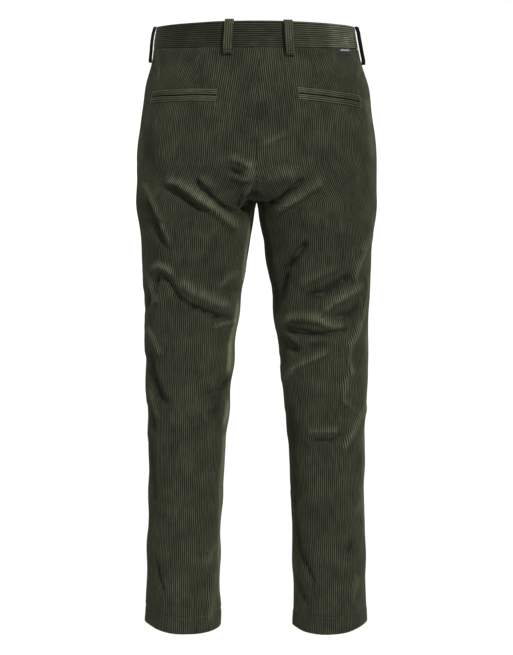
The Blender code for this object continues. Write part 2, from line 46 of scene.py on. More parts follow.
PHOTO_WIDTH, PHOTO_HEIGHT = 513, 655
FOCAL_PIXELS = 1585.0
CAMERA_PLACE = np.array([0.0, 2.6, -0.100])
CAMERA_DOWN = math.radians(8.3)
SENSOR_MM = 36.0


def photo_pixels(points, from_behind=True):
    """Where points show in the photograph, or in its mirror view of the garment's front."""
    turn = 1.0 if from_behind else -1.0
    away = points * [turn, turn, 1.0] - CAMERA_PLACE
    depth = -away[..., 1] * math.cos(CAMERA_DOWN) - away[..., 2] * math.sin(CAMERA_DOWN)
    above = -away[..., 1] * math.sin(CAMERA_DOWN) + away[..., 2] * math.cos(CAMERA_DOWN)
    across = PHOTO_WIDTH / 2 - FOCAL_PIXELS * away[..., 0] / depth
    down = PHOTO_HEIGHT / 2 - FOCAL_PIXELS * above / depth
    return np.stack([across, down], axis=-1)


camera = bpy.data.objects.new("camera", bpy.data.cameras.new("camera"))
bpy.context.collection.objects.link(camera)
camera.data.sensor_fit = "HORIZONTAL"
camera.data.sensor_width = SENSOR_MM
camera.data.lens = SENSOR_MM * FOCAL_PIXELS / PHOTO_WIDTH
camera.location = CAMERA_PLACE
camera.rotation_euler = (math.pi / 2 - CAMERA_DOWN, 0.0, math.pi)
bpy.context.scene.camera = camera

# ---- Back and front panels ---------------------------------------------------------------
# Eight-wale cotton corduroy, cut with its ribs upright: two backs and two fronts, sewn at
# the sides, the inside legs and the centre seams. Each is a tube wall cut from one surface,
# a ring round the hips that divides at the crotch into a ring for each leg.

SEAM_GAP = 0.0003
INSIDE_GAP = 0.7 * SEAM_GAP   # from the inside of a leg to the centre plane, at the least
BAND_SEAM_HEIGHT = -0.0243
SEAT_HEIGHT = -0.185
CROTCH_HEIGHT = -0.2670
CROTCH_TURN = 4.0         # 2 is a round turn under the crotch, and more is a sharper one
CENTRE_POWER = 10         # the higher, the closer to the centre seam that turn stays
SPLIT_TOP, SPLIT_LOW = -0.200, -0.345
HIP_SQUARENESS, LEG_SQUARENESS = 0.88, 0.80   # 1 is an oval section, less is a flatter one
SQUARE_TOP, SQUARE_LOW = -0.060, -0.180       # the oval waist turns into the seat between
FAN_LOW = -0.310
KNEE_HEIGHT = -0.520
HEM_OUTER_HEIGHT, HEM_INNER_HEIGHT = -0.9820, -0.9885
HEM_PINCH = 0.75
SEAT_SEAM_LEAN = 0.018
POCKET_MOUTH_TOP, POCKET_MOUTH_END = 0.036, -0.185

Section = namedtuple("Section", "height half_width front back")
HIP_SECTIONS = (
    Section(0.020, 0.1582, 0.0960, 0.0990),
    Section(0.010, 0.1592, 0.0970, 0.1000),
    Section(-0.024, 0.1658, 0.1010, 0.1050),
    Section(-0.055, 0.1727, 0.1045, 0.1110),
    Section(-0.096, 0.1818, 0.1080, 0.1200),
    Section(-0.140, 0.1900, 0.1090, 0.1290),
    Section(-0.185, 0.1945, 0.1070, 0.1325),
    Section(-0.232, 0.1960, 0.1020, 0.1300),
    Section(-0.270, 0.1958, 0.0975, 0.1250),
    Section(-0.311, 0.1925, 0.0940, 0.1130),
    Section(-0.350, 0.1893, 0.0900, 0.1000),
)
LegSection = namedtuple("LegSection", "height centre half_width front back middle")
LEG_SECTIONS = (
    LegSection(-0.150, 0.0975, 0.0973, 0.1000, 0.1230, 0.0000),
    LegSection(-0.270, 0.0980, 0.0978, 0.0975, 0.1170, 0.0000),
    LegSection(-0.311, 0.1000, 0.0926, 0.0945, 0.1060, -0.0010),
    LegSection(-0.350, 0.1014, 0.0879, 0.0905, 0.0950, -0.0030),
    LegSection(-0.430, 0.1066, 0.0802, 0.0840, 0.0850, -0.0060),
    LegSection(-0.510, 0.1104, 0.0747, 0.0790, 0.0770, -0.0080),
    LegSection(-0.591, 0.1143, 0.0701, 0.0730, 0.0740, -0.0060),
    LegSection(-0.673, 0.1164, 0.0653, 0.0670, 0.0710, -0.0020),
    LegSection(-0.756, 0.1185, 0.0629, 0.0630, 0.0680, 0.0020),
    LegSection(-0.839, 0.1217, 0.0617, 0.0610, 0.0650, 0.0040),
    LegSection(-0.923, 0.1243, 0.0625, 0.0610, 0.0640, 0.0040),
    LegSection(-0.995, 0.1245, 0.0640, 0.0620, 0.0640, 0.0030),
)


def curve_through(table, column, height):
    """A column of a section table at any height, as a cubic curve through its rows."""
    rows = sorted(table)
    heights = np.array([row.height for row in rows])
    values = np.array([getattr(row, column) for row in rows])
    slopes = np.gradient(values, heights)
    low = np.clip(np.searchsorted(heights, height) - 1, 0, len(rows) - 2)
    span = heights[low + 1] - heights[low]
    t = np.clip((height - heights[low]) / span, 0.0, 1.0)
    from_low = values[low] * (1 + 2 * t) * (1 - t) ** 2 + slopes[low] * span * t * (1 - t) ** 2
    from_high = values[low + 1] * (3 - 2 * t) * t ** 2 - slopes[low + 1] * span * (1 - t) * t ** 2
    return from_low + from_high


def soft_step(t):
    """0 below 0, 1 above 1, and a smooth rise between."""
    t = np.clip(t, 0.0, 1.0)
    return t * t * (3 - 2 * t)


def squared(value, power):
    """A power of a number that may be negative, which keeps its sign."""
    return np.sign(value) * np.abs(value) ** power


def leg_share(across, height):
    """How far the tube of one leg has taken over from the tube round the hips."""
    under = np.clip((SEAT_HEIGHT - height) / (SEAT_HEIGHT - CROTCH_HEIGHT), 0.0, 1.0)
    at_centre_seam = 1 - (1 - under ** CROTCH_TURN) ** (1 / CROTCH_TURN)
    at_side = soft_step((SPLIT_TOP - height) / (SPLIT_TOP - SPLIT_LOW))
    near_centre = np.clip(across, 0.0, 1.0) ** CENTRE_POWER
    return near_centre * at_centre_seam + (1 - near_centre) * at_side


def plain_surface(side, face, across, height):
    """Points of the surface without folds. side is +1 for left, face is +1 for back, and
    across runs from the side seam (0) to the inner seam (1)."""
    depth = "back" if face > 0 else "front"
    lean_fade = np.clip(1 - height / SEAT_HEIGHT, 0.0, 1.0)
    lean = side * SEAT_SEAM_LEAN * lean_fade if face > 0 else 0.0
    angle = 0.5 * math.pi * across * (1 + lean)
    hip_x = curve_through(HIP_SECTIONS, "half_width", height) * np.cos(angle)
    squarer = soft_step((SQUARE_TOP - height) / (SQUARE_TOP - SQUARE_LOW))
    hip_bulge = squared(np.sin(angle), 1 - (1 - HIP_SQUARENESS) * squarer)
    hip_y = curve_through(HIP_SECTIONS, depth, height) * hip_bulge
    leg_centre = curve_through(LEG_SECTIONS, "centre", height)
    leg_half = curve_through(LEG_SECTIONS, "half_width", height)
    leg_half = np.minimum(leg_half, leg_centre - INSIDE_GAP)
    leg_x = leg_centre + leg_half * np.cos(math.pi * across)
    bulge = squared(np.sin(math.pi * across), LEG_SQUARENESS)
    pinch = HEM_PINCH * np.clip(height / HEM_OUTER_HEIGHT, 0.0, 1.0) ** 3
    leg_y = curve_through(LEG_SECTIONS, depth, height) * bulge * (1 - pinch * (1 - bulge))
    share = leg_share(across, height)
    x = (1 - share) * hip_x + share * leg_x
    y = (1 - share) * hip_y + share * leg_y
    middle = curve_through(LEG_SECTIONS, "middle", height)
    return np.stack([side * x, face * y + middle, height + 0 * x], axis=-1)


def surface_normals(side, face, across, height):
    """Unit vectors out of the surface."""
    small_across, small_height = 0.002, 0.001
    along = plain_surface(side, face, across + small_across, height)
    along = along - plain_surface(side, face, across - small_across, height)
    down = plain_surface(side, face, across, height - small_height)
    down = down - plain_surface(side, face, across, height + small_height)
    normals = side * face * np.cross(down, along)
    return normals / np.linalg.norm(normals, axis=-1, keepdims=True)


# Creases: how far each stands out (+) or in (-) in the tables' own millimetres, its half width
# in the photograph's pixels, and the points of its line there. Both ends fade out.
# Each crease is also painted into the colour: a painted highlight along a crest, painted shade in
# a trough.
BACK_CREASES = (
    # seat and thigh, left leg
    (+3.0, 5.5, (163, 179), (180, 183), (200, 197), (220, 212), (241, 230)),
    (-3.0, 4.5, (168, 183), (182, 192), (196, 204), (208, 210)),
    (-2.8, 3.5, (196, 177), (206, 190), (218, 201), (230, 209), (244, 214)),
    (+1.8, 4.0, (197, 173), (207, 182), (218, 187)),
    (+2.6, 2.5, (254, 183), (245, 195), (238, 207)),
    (-3.2, 2.5, (254, 196), (246, 206), (237, 213)),
    (+2.2, 3.0, (227, 157), (240, 160), (255, 167)),
    (-2.0, 3.0, (227, 166), (237, 171), (246, 172)),
    (+1.8, 2.5, (229, 175), (243, 179), (254, 180)),
    (+1.8, 3.0, (141, 180), (149, 193), (158, 211), (164, 228), (172, 248)),
    (-2.6, 4.0, (147, 195), (153, 212), (160, 229), (168, 246)),
    # knee, left leg
    (+2.8, 3.5, (149, 270), (160, 265), (168, 268), (177, 277)),
    (-3.4, 3.0, (163, 270), (171, 281), (180, 296), (190, 304)),
    (-3.4, 4.2, (186, 303), (203, 309), (220, 316), (235, 316)),
    (-2.8, 2.5, (163, 270), (158, 282), (156, 297)),
    (+2.2, 6.0, (176, 279), (194, 291), (212, 300), (232, 306)),
    (+2.0, 2.8, (145, 268), (151, 285), (157, 300), (148, 314)),
    (-2.6, 3.5, (147, 284), (150, 302), (148, 313)),
    (+2.0, 3.2, (217, 288), (228, 278), (244, 270)),
    (-1.8, 3.0, (222, 289), (232, 289), (241, 284)),
    (+2.6, 2.2, (210, 329), (224, 324), (238, 321)),
    (+2.2, 2.8, (146, 323), (155, 341), (163, 357)),
    (-3.2, 4.8, (151, 348), (154, 372), (161, 392), (171, 404)),
    (+1.8, 2.2, (147, 386), (153, 402), (158, 420)),
    (-2.2, 2.6, (147, 402), (153, 418), (156, 433)),
    (-2.2, 3.8, (231, 375), (221, 391), (206, 395)),
    (-1.4, 5.0, (221, 392), (217, 410), (205, 413)),
    # shin, left leg
    (-1.4, 4.0, (152, 432), (154, 470), (157, 502)),
    (+2.0, 4.0, (219, 541), (210, 553), (202, 568)),
    (+1.8, 4.0, (214, 568), (211, 600), (208, 622)),
    (-1.8, 2.5, (157, 557), (161, 578), (167, 594)),
    # seat and thigh, right leg
    (+1.4, 4.0, (260, 146), (292, 131)),
    (-3.4, 3.5, (305, 177), (294, 187), (280, 198), (264, 205)),
    (+2.4, 5.0, (326, 180), (308, 192), (290, 203), (275, 212)),
    (-3.4, 4.2, (309, 239), (298, 252), (290, 264), (287, 280), (283, 300)),
    (+1.6, 5.0, (299, 286), (316, 276), (339, 267)),
    (-2.6, 6.0, (305, 294), (325, 291), (340, 281), (353, 273)),
    (+2.4, 4.0, (323, 314), (334, 303), (348, 295), (365, 282)),
    (-2.4, 4.5, (332, 317), (350, 313), (361, 300)),
    (+2.6, 3.4, (374, 233), (363, 250), (357, 266), (352, 283)),
    (+1.8, 2.8, (368, 273), (366, 300), (362, 322)),
    # knee, right leg
    (+2.6, 5.0, (280, 326), (290, 318), (303, 316), (318, 319), (332, 325), (348, 329)),
    (-3.6, 3.8, (283, 329), (300, 330), (315, 333), (330, 333), (349, 327)),
    (+2.2, 1.8, (277, 327), (290, 336), (301, 344)),
    (-4.0, 3.8, (282, 338), (290, 345), (301, 351)),
    (-2.2, 5.0, (284, 350), (286, 364)),
    (+2.4, 4.2, (284, 381), (295, 368), (310, 360), (331, 350)),
    (-1.4, 5.0, (306, 345), (332, 342)),
    (+2.8, 3.6, (363, 316), (357, 332), (350, 345), (349, 360), (353, 378)),
    (+1.8, 3.4, (352, 366), (346, 380), (343, 400), (356, 411)),
    (+2.6, 3.2, (367, 402), (358, 420), (348, 438), (340, 452)),
    (+2.0, 2.8, (307, 432), (325, 431), (343, 429)),
    (-2.2, 3.4, (311, 439), (330, 440), (345, 433)),
    # shin, right leg
    (-2.0, 5.5, (290, 403), (294, 430), (293, 460), (297, 492)),
    (-2.0, 3.0, (294, 490), (296, 520), (300, 545), (316, 584)),
    (-1.6, 3.0, (296, 568), (303, 590), (309, 606)),
    (+1.8, 3.5, (362, 498), (357, 508), (352, 517)),
    (-1.6, 3.0, (354, 538), (350, 548), (347, 556)),
    (+1.8, 4.0, (358, 572), (353, 590), (350, 604)),
)
# Painted light and shade on the back, with no fold under them, in the same way of writing: + is a
# painted highlight, as along edges that face the key light, and - painted shade, as along edges
# that face away and round the crotch.
BACK_PAINTED_LIGHT = (
    (-1.0, 20.0, (262, 98), (262, 122)),
    (+3.0, 9.0, (250, 158), (248, 182)),
    (+3.0, 8.5, (264, 180), (284, 174), (302, 173)),
    (+1.2, 5.0, (204, 103), (222, 105)),
    (+2.4, 2.2, (157, 50), (157, 82)),
    (+2.4, 2.2, (362, 63), (355, 82)),
    (+2.2, 3.6, (140, 126), (138, 150), (139, 178)),
    (-1.2, 8.0, (150, 124), (150, 166)),
    (+2.0, 3.8, (366, 95), (370, 125), (373, 160)),
    (+5.0, 3.5, (253, 205), (248, 235), (244, 262), (242, 286)),
    (-5.0, 5.2, (256, 190), (261, 205), (264, 225), (268, 250), (272, 276), (277, 316)),
    (-4.0, 5.0, (252, 191), (259, 198)),
    (+5.0, 3.2, (239, 298), (235, 322), (231, 345), (228, 376)),
    (+5.0, 3.0, (228, 394), (226, 413), (223, 432)),
    (+4.0, 3.4, (225, 428), (223, 455), (221, 485), (220, 520), (219, 600)),
    (+2.4, 2.8, (367, 330), (368, 380), (366, 420), (363, 460), (364, 540)),
)
# The hidden front has creases of the same kind, drawn in the mirror view from the front.
FRONT_CREASES = (
    (+2.6, 5.0, (182, 196), (206, 204), (232, 196), (250, 182)),
    (-2.6, 4.0, (178, 209), (204, 218), (232, 210), (248, 197)),
    (+2.4, 5.0, (262, 184), (282, 198), (308, 206), (336, 198)),
    (-2.4, 4.0, (266, 198), (284, 212), (312, 219), (334, 214)),
    (+1.8, 4.5, (150, 225), (176, 234), (210, 232)),
    (+1.8, 4.5, (306, 236), (334, 240), (364, 230)),
    (+2.0, 4.0, (254, 150), (250, 172), (246, 188)),
    (-1.4, 5.0, (196, 98), (214, 130), (220, 160)),
    (+2.6, 5.0, (150, 318), (176, 326), (206, 324), (232, 310)),
    (-2.4, 4.5, (152, 330), (178, 338), (208, 336), (230, 324)),
    (+2.0, 4.5, (166, 352), (194, 358), (222, 350)),
    (+2.6, 5.0, (282, 312), (304, 326), (334, 328), (362, 316)),
    (-2.4, 4.5, (284, 325), (306, 339), (336, 340), (360, 330)),
    (+1.8, 4.5, (290, 362), (318, 356), (346, 362)),
    (+1.6, 4.0, (152, 420), (176, 432), (206, 430)),
    (-1.5, 4.0, (298, 432), (326, 440), (352, 430)),
    (+1.6, 4.0, (152, 560), (164, 584), (170, 606)),
    (+1.6, 4.0, (300, 548), (310, 572), (326, 590)),
    (-1.4, 3.5, (204, 560), (198, 586), (200, 606)),
)
CREASE_GAIN = 0.0020      # metres that one of the tables' millimetres is worth
CREASE_NARROW = 0.80      # share of the tables' half widths that is used
CREASE_REACH = 3          # half widths from its line within which a crease is felt
CREASE_FADE = 11.0        # pixels over which a crease dies away at either end
CREASE_END = 0.15         # how far along that fade the very end of its line is
BROAD_SLOPE, STEEP_SLOPE = 1.30, 0.65         # of a crease, towards and away from the light
FULL_PAINTED_SHADE_DEPTH = 3.0            # a crease this deep gets the full painted shade
PAINTED_SHADE_FACTOR = 3.4           # which paints its trough this much darker
CREST_SHARE = 0.72        # of that, as a painted highlight, for a crest as high
AWAY_FROM_LIGHT = np.array([-0.35, 0.55])     # from the light on a fold to its own line
SEAM_FADE = 0.012         # how far a crease of one face runs on past a seam to the other
SHADE_FADE = 0.018        # how far from a seam the back's painted light and shade are at their fullest
PANEL_WIDTH = 0.25        # of a typical panel, to turn a share across into metres
RIPPLES = 14              # soft unevenness of the whole cloth, as crossing waves
RIPPLE_RISE = 0.00042
RIPPLE_LENGTHS = (0.035, 0.110)
RIPPLE_SEED = 7
RING_STEPS = 64           # in which one face of the ring is measured


def crease_field(creases, pixels, shift):
    """A table of creases at points of the photograph, in its millimetres. Each line is moved
    by shift times its half width."""
    field = np.zeros(pixels.shape[:-1])
    for rise, width, *line in creases:
        line = np.array(line, float) + width * shift
        steps = np.linalg.norm(np.diff(line, axis=0), axis=1)
        starts = np.concatenate([[0.0], np.cumsum(steps)])
        low = line.min(axis=0) - CREASE_REACH * width
        high = line.max(axis=0) + CREASE_REACH * width
        near = np.all((pixels > low) & (pixels < high), axis=-1)
        place = pixels[near]
        nearest = np.full(len(place), np.inf)
        travelled = np.zeros(len(place))
        lit = np.zeros(len(place), bool)
        for start, end, length, done in zip(line, line[1:], steps, starts):
            direction = (end - start) / length
            along = np.clip((place - start) @ direction, 0.0, length)
            away = np.linalg.norm(place - start - along[:, None] * direction, axis=1)
            closer = away < nearest
            lit_way = np.array([-direction[1], direction[0]])
            lit_way *= -np.sign(lit_way @ AWAY_FROM_LIGHT)
            lit = np.where(closer, (place - start) @ lit_way > 0, lit)
            nearest = np.where(closer, away, nearest)
            travelled = np.where(closer, done + along, travelled)
        to_end = np.minimum(travelled, starts[-1] - travelled)
        taper = soft_step(CREASE_END + to_end / CREASE_FADE)
        slope = np.where(lit == (rise > 0), BROAD_SLOPE, STEEP_SLOPE)
        shape = np.exp(-(nearest / (slope * CREASE_NARROW * width)) ** 2)
        field[near] += rise * taper * shape
    return field


def ripple_rise(points):
    """Low waves over the whole cloth, the same on both sides of every seam."""
    draw = np.random.default_rng(RIPPLE_SEED)
    rise = np.zeros(points.shape[:-1])
    for _ in range(RIPPLES):
        direction = draw.normal(size=3) * [1.0, 1.0, 0.6]
        direction /= np.linalg.norm(direction)
        length = draw.uniform(*RIPPLE_LENGTHS)
        phase = draw.uniform(0, 2 * math.pi)
        rise += RIPPLE_RISE * np.sin(points @ direction * 2 * math.pi / length + phase)
    return rise


def creases(face, points, across, shift):
    """All the creases at points of one panel. Each face's creases run on a little way round
    the side seam, and below the crotch round the inside seam as well."""
    behind = crease_field(BACK_CREASES, photo_pixels(points), shift)
    ahead = crease_field(FRONT_CREASES, photo_pixels(points, from_behind=False), shift)
    from_side = across * PANEL_WIDTH
    from_inside = np.where(points[..., 2] < CROTCH_HEIGHT, (1 - across) * PANEL_WIDTH, 1.0)
    reach = np.minimum(from_side, from_inside)
    other = np.exp(-(reach / SEAM_FADE) ** 2)
    own, far = (behind, ahead) if face > 0 else (ahead, behind)
    return own + other * far


def cloth_points(side, face, across, height, lift, dents=None):
    """Points at a lift from the folded surface. The inputs are arrays of one shape, and
    dents adds the marks of one panel's own making up, such as its pocket."""
    across, height, lift = np.broadcast_arrays(across, height, lift)
    points = plain_surface(side, face, across, height)
    out = surface_normals(side, face, across, height)
    total = lift + ripple_rise(points)
    total = total + CREASE_GAIN * creases(face, points, across, AWAY_FROM_LIGHT)
    if dents is not None:
        total = total + dents(side, points, across)
    placed = points + out * total[..., None]
    clear = side * np.maximum(side * placed[..., 0], SEAM_GAP / 2)
    placed[..., 0] = np.where(height < SEAT_HEIGHT, clear, placed[..., 0])
    return placed


def face_width(side, face, height):
    """Distance round one face of the ring, from the side seam to the centre seam."""
    across = np.linspace(0.0, 1.0, RING_STEPS + 1)
    ring = plain_surface(side, face, across, np.full(across.shape, height))
    return np.linalg.norm(np.diff(ring, axis=0), axis=1).sum()


def mouth_across(side, height):
    """Where the slant pocket's mouth crosses a front panel, 0 below the pocket."""
    down = (height - BAND_SEAM_HEIGHT) / (POCKET_MOUTH_END - BAND_SEAM_HEIGHT)
    width = face_width(side, -1, BAND_SEAM_HEIGHT)
    return POCKET_MOUTH_TOP / width * np.clip(1 - down, 0.0, 1.0)


# The back pockets' windows, where the panel is cut and turned in round two lips, and one
# dart above each, which takes a wedge of cloth out of the waist.
WELT_HEIGHT = 0.0093
Welt = namedtuple("Welt", "outer_x inner_x outer_height inner_height")
WELTS = {
    +1: Welt(0.168, 0.061, -0.1015, -0.0990),
    -1: Welt(0.165, 0.064, -0.1085, -0.0955),
}
SLIT_BOW = 0.0022
WINDOW_SINK, WINDOW_EDGE = 0.0010, 0.0012
SLIT_SINK, SLIT_HALF_WIDTH = 0.0030, 0.0016
Dart = namedtuple("Dart", "top tip")
DARTS = {+1: Dart((200.5, 47.0), (194.7, 88.0)), -1: Dart((313.0, 49.0), (316.5, 88.0))}
DART_TAKE = 0.014
DART_SINK, DART_HALF_WIDTH = 0.0011, 0.0016
PIXEL_SIZE = 0.00158      # of the photograph, at the back of the garment


def slit_height(side, x):
    """Height of a back pocket's slit, and the share of its length, at a distance x."""
    welt = WELTS[side]
    share = (welt.outer_x - side * x) / (welt.outer_x - welt.inner_x)
    bow = SLIT_BOW * 4 * np.clip(share * (1 - share), 0.0, None)
    return welt.outer_height + share * (welt.inner_height - welt.outer_height) + bow, share


def dart_offset(side, pixels):
    """Pixels across from a dart's line, and how far up the dart, from 0 at its tip."""
    top, tip = np.array(DARTS[side].top), np.array(DARTS[side].tip)
    up = (tip[1] - pixels[..., 1]) / (tip[1] - top[1])
    line = tip[0] + up * (top[0] - tip[0])
    return pixels[..., 0] - line, up


def back_dents(side, points, across):
    """Marks in a back panel: its pocket's window and slit, and its dart. They need no place
    across, unlike those in a front."""
    slit, share = slit_height(side, points[..., 0])
    welt = WELTS[side]
    off = points[..., 2] - slit
    to_end = np.minimum(share, 1 - share) * (welt.outer_x - welt.inner_x)
    to_edge = WELT_HEIGHT + WINDOW_EDGE / 2 - np.abs(off)
    inside = soft_step(0.5 + to_end / WINDOW_EDGE) * soft_step(0.5 + to_edge / WINDOW_EDGE)
    slit_part = SLIT_SINK * np.exp(-(off / SLIT_HALF_WIDTH) ** 2)
    aside, up = dart_offset(side, photo_pixels(points))
    groove = np.exp(-(aside * PIXEL_SIZE / DART_HALF_WIDTH) ** 2)
    return -inside * (WINDOW_SINK + slit_part) - DART_SINK * groove * soft_step(4 * up)


# Marks of the topstitching on the fronts: along the pocket mouth, and round the fly.
MOUTH_STITCH = 0.007
MOUTH_STITCH_FADE = 0.004
FLY_STITCH = 0.038
FLY_LENGTH = 0.150
FLY_CURVE = 0.040
STITCH_SINK, STITCH_HALF_WIDTH = 0.0006, 0.0013
ZIP_RIDGE, ZIP_RIDGE_HALF_WIDTH = 0.0018, 0.012    # where the fronts lie over the zip


def fly_stitch_place(height):
    """How far left of the centre front the fly's stitching is, at a height."""
    low = BAND_SEAM_HEIGHT - FLY_LENGTH
    up = np.clip((height - low) / FLY_CURVE, 0.0, 1.0)
    return FLY_STITCH * np.sqrt(1 - (1 - up) ** 2)


def front_dents(side, points, across):
    """Marks in a front panel."""
    height = points[..., 2]
    mouth = mouth_across(side, height)
    from_mouth = (across - mouth) * PANEL_WIDTH - MOUTH_STITCH
    open_part = soft_step(mouth * PANEL_WIDTH / MOUTH_STITCH_FADE)
    sunk = open_part * np.exp(-(from_mouth / STITCH_HALF_WIDTH) ** 2)
    if side > 0:
        from_fly = points[..., 0] - fly_stitch_place(height)
        on_fly = height > BAND_SEAM_HEIGHT - FLY_LENGTH
        sunk = sunk + on_fly * np.exp(-(from_fly / STITCH_HALF_WIDTH) ** 2)
    up_fly = soft_step((height - BAND_SEAM_HEIGHT + FLY_LENGTH) / FLY_CURVE)
    ridge = up_fly * np.exp(-(points[..., 0] / ZIP_RIDGE_HALF_WIDTH) ** 2)
    return ZIP_RIDGE * ridge - STITCH_SINK * sunk


# Ribs: 8 to the inch. Each has four columns of points, which leave a narrow furrow between
# round-topped ribs. The rows are spaced so that a panel stays under 200,000 triangles.
RIB_PITCH = 0.0033
RIB_HEIGHT = 0.00075
RIB_PLACES = np.array([0.0, 0.22, 0.5, 0.78])
RIB_LEVELS = np.array([-1.0, -0.12, 0.0, -0.12])
RIBS_EACH_WAY = 60
ROW_STEP = 0.0040
POCKET_ROW_STEP = 0.0013
POCKET_ROWS_TOP, POCKET_ROWS_LOW = -0.082, -0.122
SEAM_MARGIN = 0.0006      # half a seam gap, as a share of a panel's width
EDGE_SNAP = 0.0003        # a column nearer than this to an edge is moved onto it
EDGE_ROLL = 0.0011        # how deep the edges roll into a seam, and how wide
EDGE_ROLL_WIDTH = 0.0024
WRONG_SIDE_LIFT = -0.0013
WRONG_SIDE_ROWS, WRONG_SIDE_COLUMNS = 110, 30
ALLOWANCE_WIDTH = 0.030   # of the seam allowance behind the next panel, as a share of it
NO_ALLOWANCE = 0.001
ALLOWANCE_SECTION = ((0.2, -0.0036), (1.0, -0.0036), (1.0, -0.0041), (0.2, -0.0041))
HEM_STITCH_SINK = 0.0016
HEM_STITCH_UP = 0.0285    # above the hem's fold
ARC_STEPS = 160           # in which each row is measured
WEAVE_FINENESS = 6.3      # a weave's fineness over its texture's scale: 1600 is 1.4 mm lines

Row = namedtuple("Row", "side_height inner_height lift")
HEM_INSIDE = (            # rise from the hem's fold and lift, round it and up the inside
    (-0.0007, -0.0006), (-0.0009, -0.0014), (-0.0003, -0.0022), (0.003, -0.0028),
    (0.010, -0.0029), (0.017, -0.0029), (0.024, -0.0029), (0.0285, -0.0028),
    (0.0300, -0.0022),
)


def panel_rows():
    """The rows of a panel's right side: down the outside, round the hem and up inside."""
    top = BAND_SEAM_HEIGHT - SEAM_GAP
    rows = [Row(top, top, -EDGE_ROLL), Row(top - 0.0007, top - 0.0007, -0.45 * EDGE_ROLL),
            Row(top - 0.0018, top - 0.0018, -0.05 * EDGE_ROLL)]
    spans = ((top - 0.0035, POCKET_ROWS_TOP, ROW_STEP),
             (POCKET_ROWS_TOP, POCKET_ROWS_LOW, POCKET_ROW_STEP),
             (POCKET_ROWS_LOW, SEAT_HEIGHT, ROW_STEP))
    for high, low, step in spans:
        for height in np.linspace(high, low, round((high - low) / step), endpoint=False):
            rows.append(Row(height, height, 0.0))
    for turn in np.linspace(0.0, 1.0, round((SEAT_HEIGHT - FAN_LOW) / ROW_STEP)):
        under = math.sin(turn * math.pi / 2) * (CROTCH_HEIGHT - SEAT_HEIGHT)
        side_height = SEAT_HEIGHT + turn * (FAN_LOW - SEAT_HEIGHT)
        rows.append(Row(side_height, SEAT_HEIGHT + under, 0.0))
    spans = ((FAN_LOW, CROTCH_HEIGHT, KNEE_HEIGHT, KNEE_HEIGHT),
             (KNEE_HEIGHT, KNEE_HEIGHT, HEM_OUTER_HEIGHT, HEM_INNER_HEIGHT))
    for side_high, inner_high, side_low, inner_low in spans:
        count = round((inner_high - inner_low) / ROW_STEP)
        for down in np.linspace(0.0, 1.0, count + 1)[1:]:
            side_height = side_high + down * (side_low - side_high)
            inner_height = inner_high + down * (inner_low - inner_high)
            from_stitch = (side_height - HEM_OUTER_HEIGHT - HEM_STITCH_UP) / ROW_STEP
            sunk = HEM_STITCH_SINK if abs(from_stitch) < 0.5 else 0.0
            rows.append(Row(side_height, inner_height, -sunk))
    for rise, lift in HEM_INSIDE:
        rows.append(Row(HEM_OUTER_HEIGHT + rise, HEM_INNER_HEIGHT + rise, lift))
    return rows


def lace(first, second):
    """Triangles that close the gap between two chains of points of any two lengths."""
    faces = []
    i, j = 0, 0
    last_i, last_j = len(first) - 1, len(second) - 1
    while i < last_i or j < last_j:
        if j == last_j or (i < last_i and (i + 1) * last_j <= (j + 1) * last_i):
            faces.append((first[i], first[i + 1], second[j]))
            i += 1
        else:
            faces.append((first[i], second[j + 1], second[j]))
            j += 1
    return faces


def grid_faces(ids):
    """Quads, or triangles where two corners are one point, over a grid of point numbers."""
    corners = np.stack([ids[:-1, :-1], ids[:-1, 1:], ids[1:, 1:], ids[1:, :-1]], axis=-1)
    corners = corners.reshape(-1, 4)
    top_shut = corners[:, 0] == corners[:, 1]
    low_shut = corners[:, 2] == corners[:, 3]
    faces = corners[~top_shut & ~low_shut].tolist()
    faces += corners[top_shut & ~low_shut][:, [0, 2, 3]].tolist()
    faces += corners[~top_shut & low_shut][:, [0, 1, 2]].tolist()
    return faces


def finish_mesh(name, points, faces, cut, wrong_side=(), painted_light=None):
    """A smooth mesh piece with faces outwards. cut gives each point's place on the flat
    cloth in metres, and the faces numbered in wrong_side get the second material. The last
    argument is painted light for each point: a painted highlight (+) along a crest, painted shade
    (-) in a trough."""
    mesh = bpy.data.meshes.new(name)
    mesh.from_pydata(points.tolist(), [], faces)
    slots = np.zeros(len(faces), dtype=np.int32)
    slots[list(wrong_side)] = 1
    mesh.polygons.foreach_set("material_index", slots)
    layer = mesh.uv_layers.new(name="Cut")
    corner_points = np.empty(len(mesh.loops), dtype=np.int32)
    mesh.loops.foreach_get("vertex_index", corner_points)
    layer.data.foreach_set("uv", cut[corner_points].astype(np.float32).ravel())
    if painted_light is not None:
        values = mesh.attributes.new("PaintedLight", "FLOAT", "POINT").data
        values.foreach_set("value", painted_light.astype(np.float32))
    work = bmesh.new()
    work.from_mesh(mesh)
    bmesh.ops.recalc_face_normals(work, faces=work.faces)
    work.to_mesh(mesh)
    work.free()
    mesh.shade_smooth()
    piece = bpy.data.objects.new(name, mesh)
    bpy.context.collection.objects.link(piece)
    return piece


def spread(rows, start, end, steps):
    """Places across and heights of each row's points, fanned between seam and seam."""
    side_height = np.array([row.side_height for row in rows])[:, None]
    inner_height = np.array([row.inner_height for row in rows])[:, None]
    share = np.linspace(0.0, 1.0, steps + 1)
    across = start[:, None] + share * (end - start)[:, None]
    turn = 0.5 - 0.5 * np.cos(math.pi * across)
    return across, side_height + turn * (inner_height - side_height)


def allowance(side, face, column, wide, height, in_seat):
    """Points of the seam allowance beyond one edge of a panel, behind the next panel."""
    share, lift = np.array(ALLOWANCE_SECTION).T
    place = SEAM_MARGIN + share * wide[:, None]
    place = place if column == 0 else 1 - place
    height = height[:, None]
    behind_leg = cloth_points(side, -face, place, height, lift)
    across_centre = cloth_points(-side, face, place, height, lift)
    over_centre = in_seat & (column == -1)
    return np.where(over_centre[:, None, None], across_centre, behind_leg)


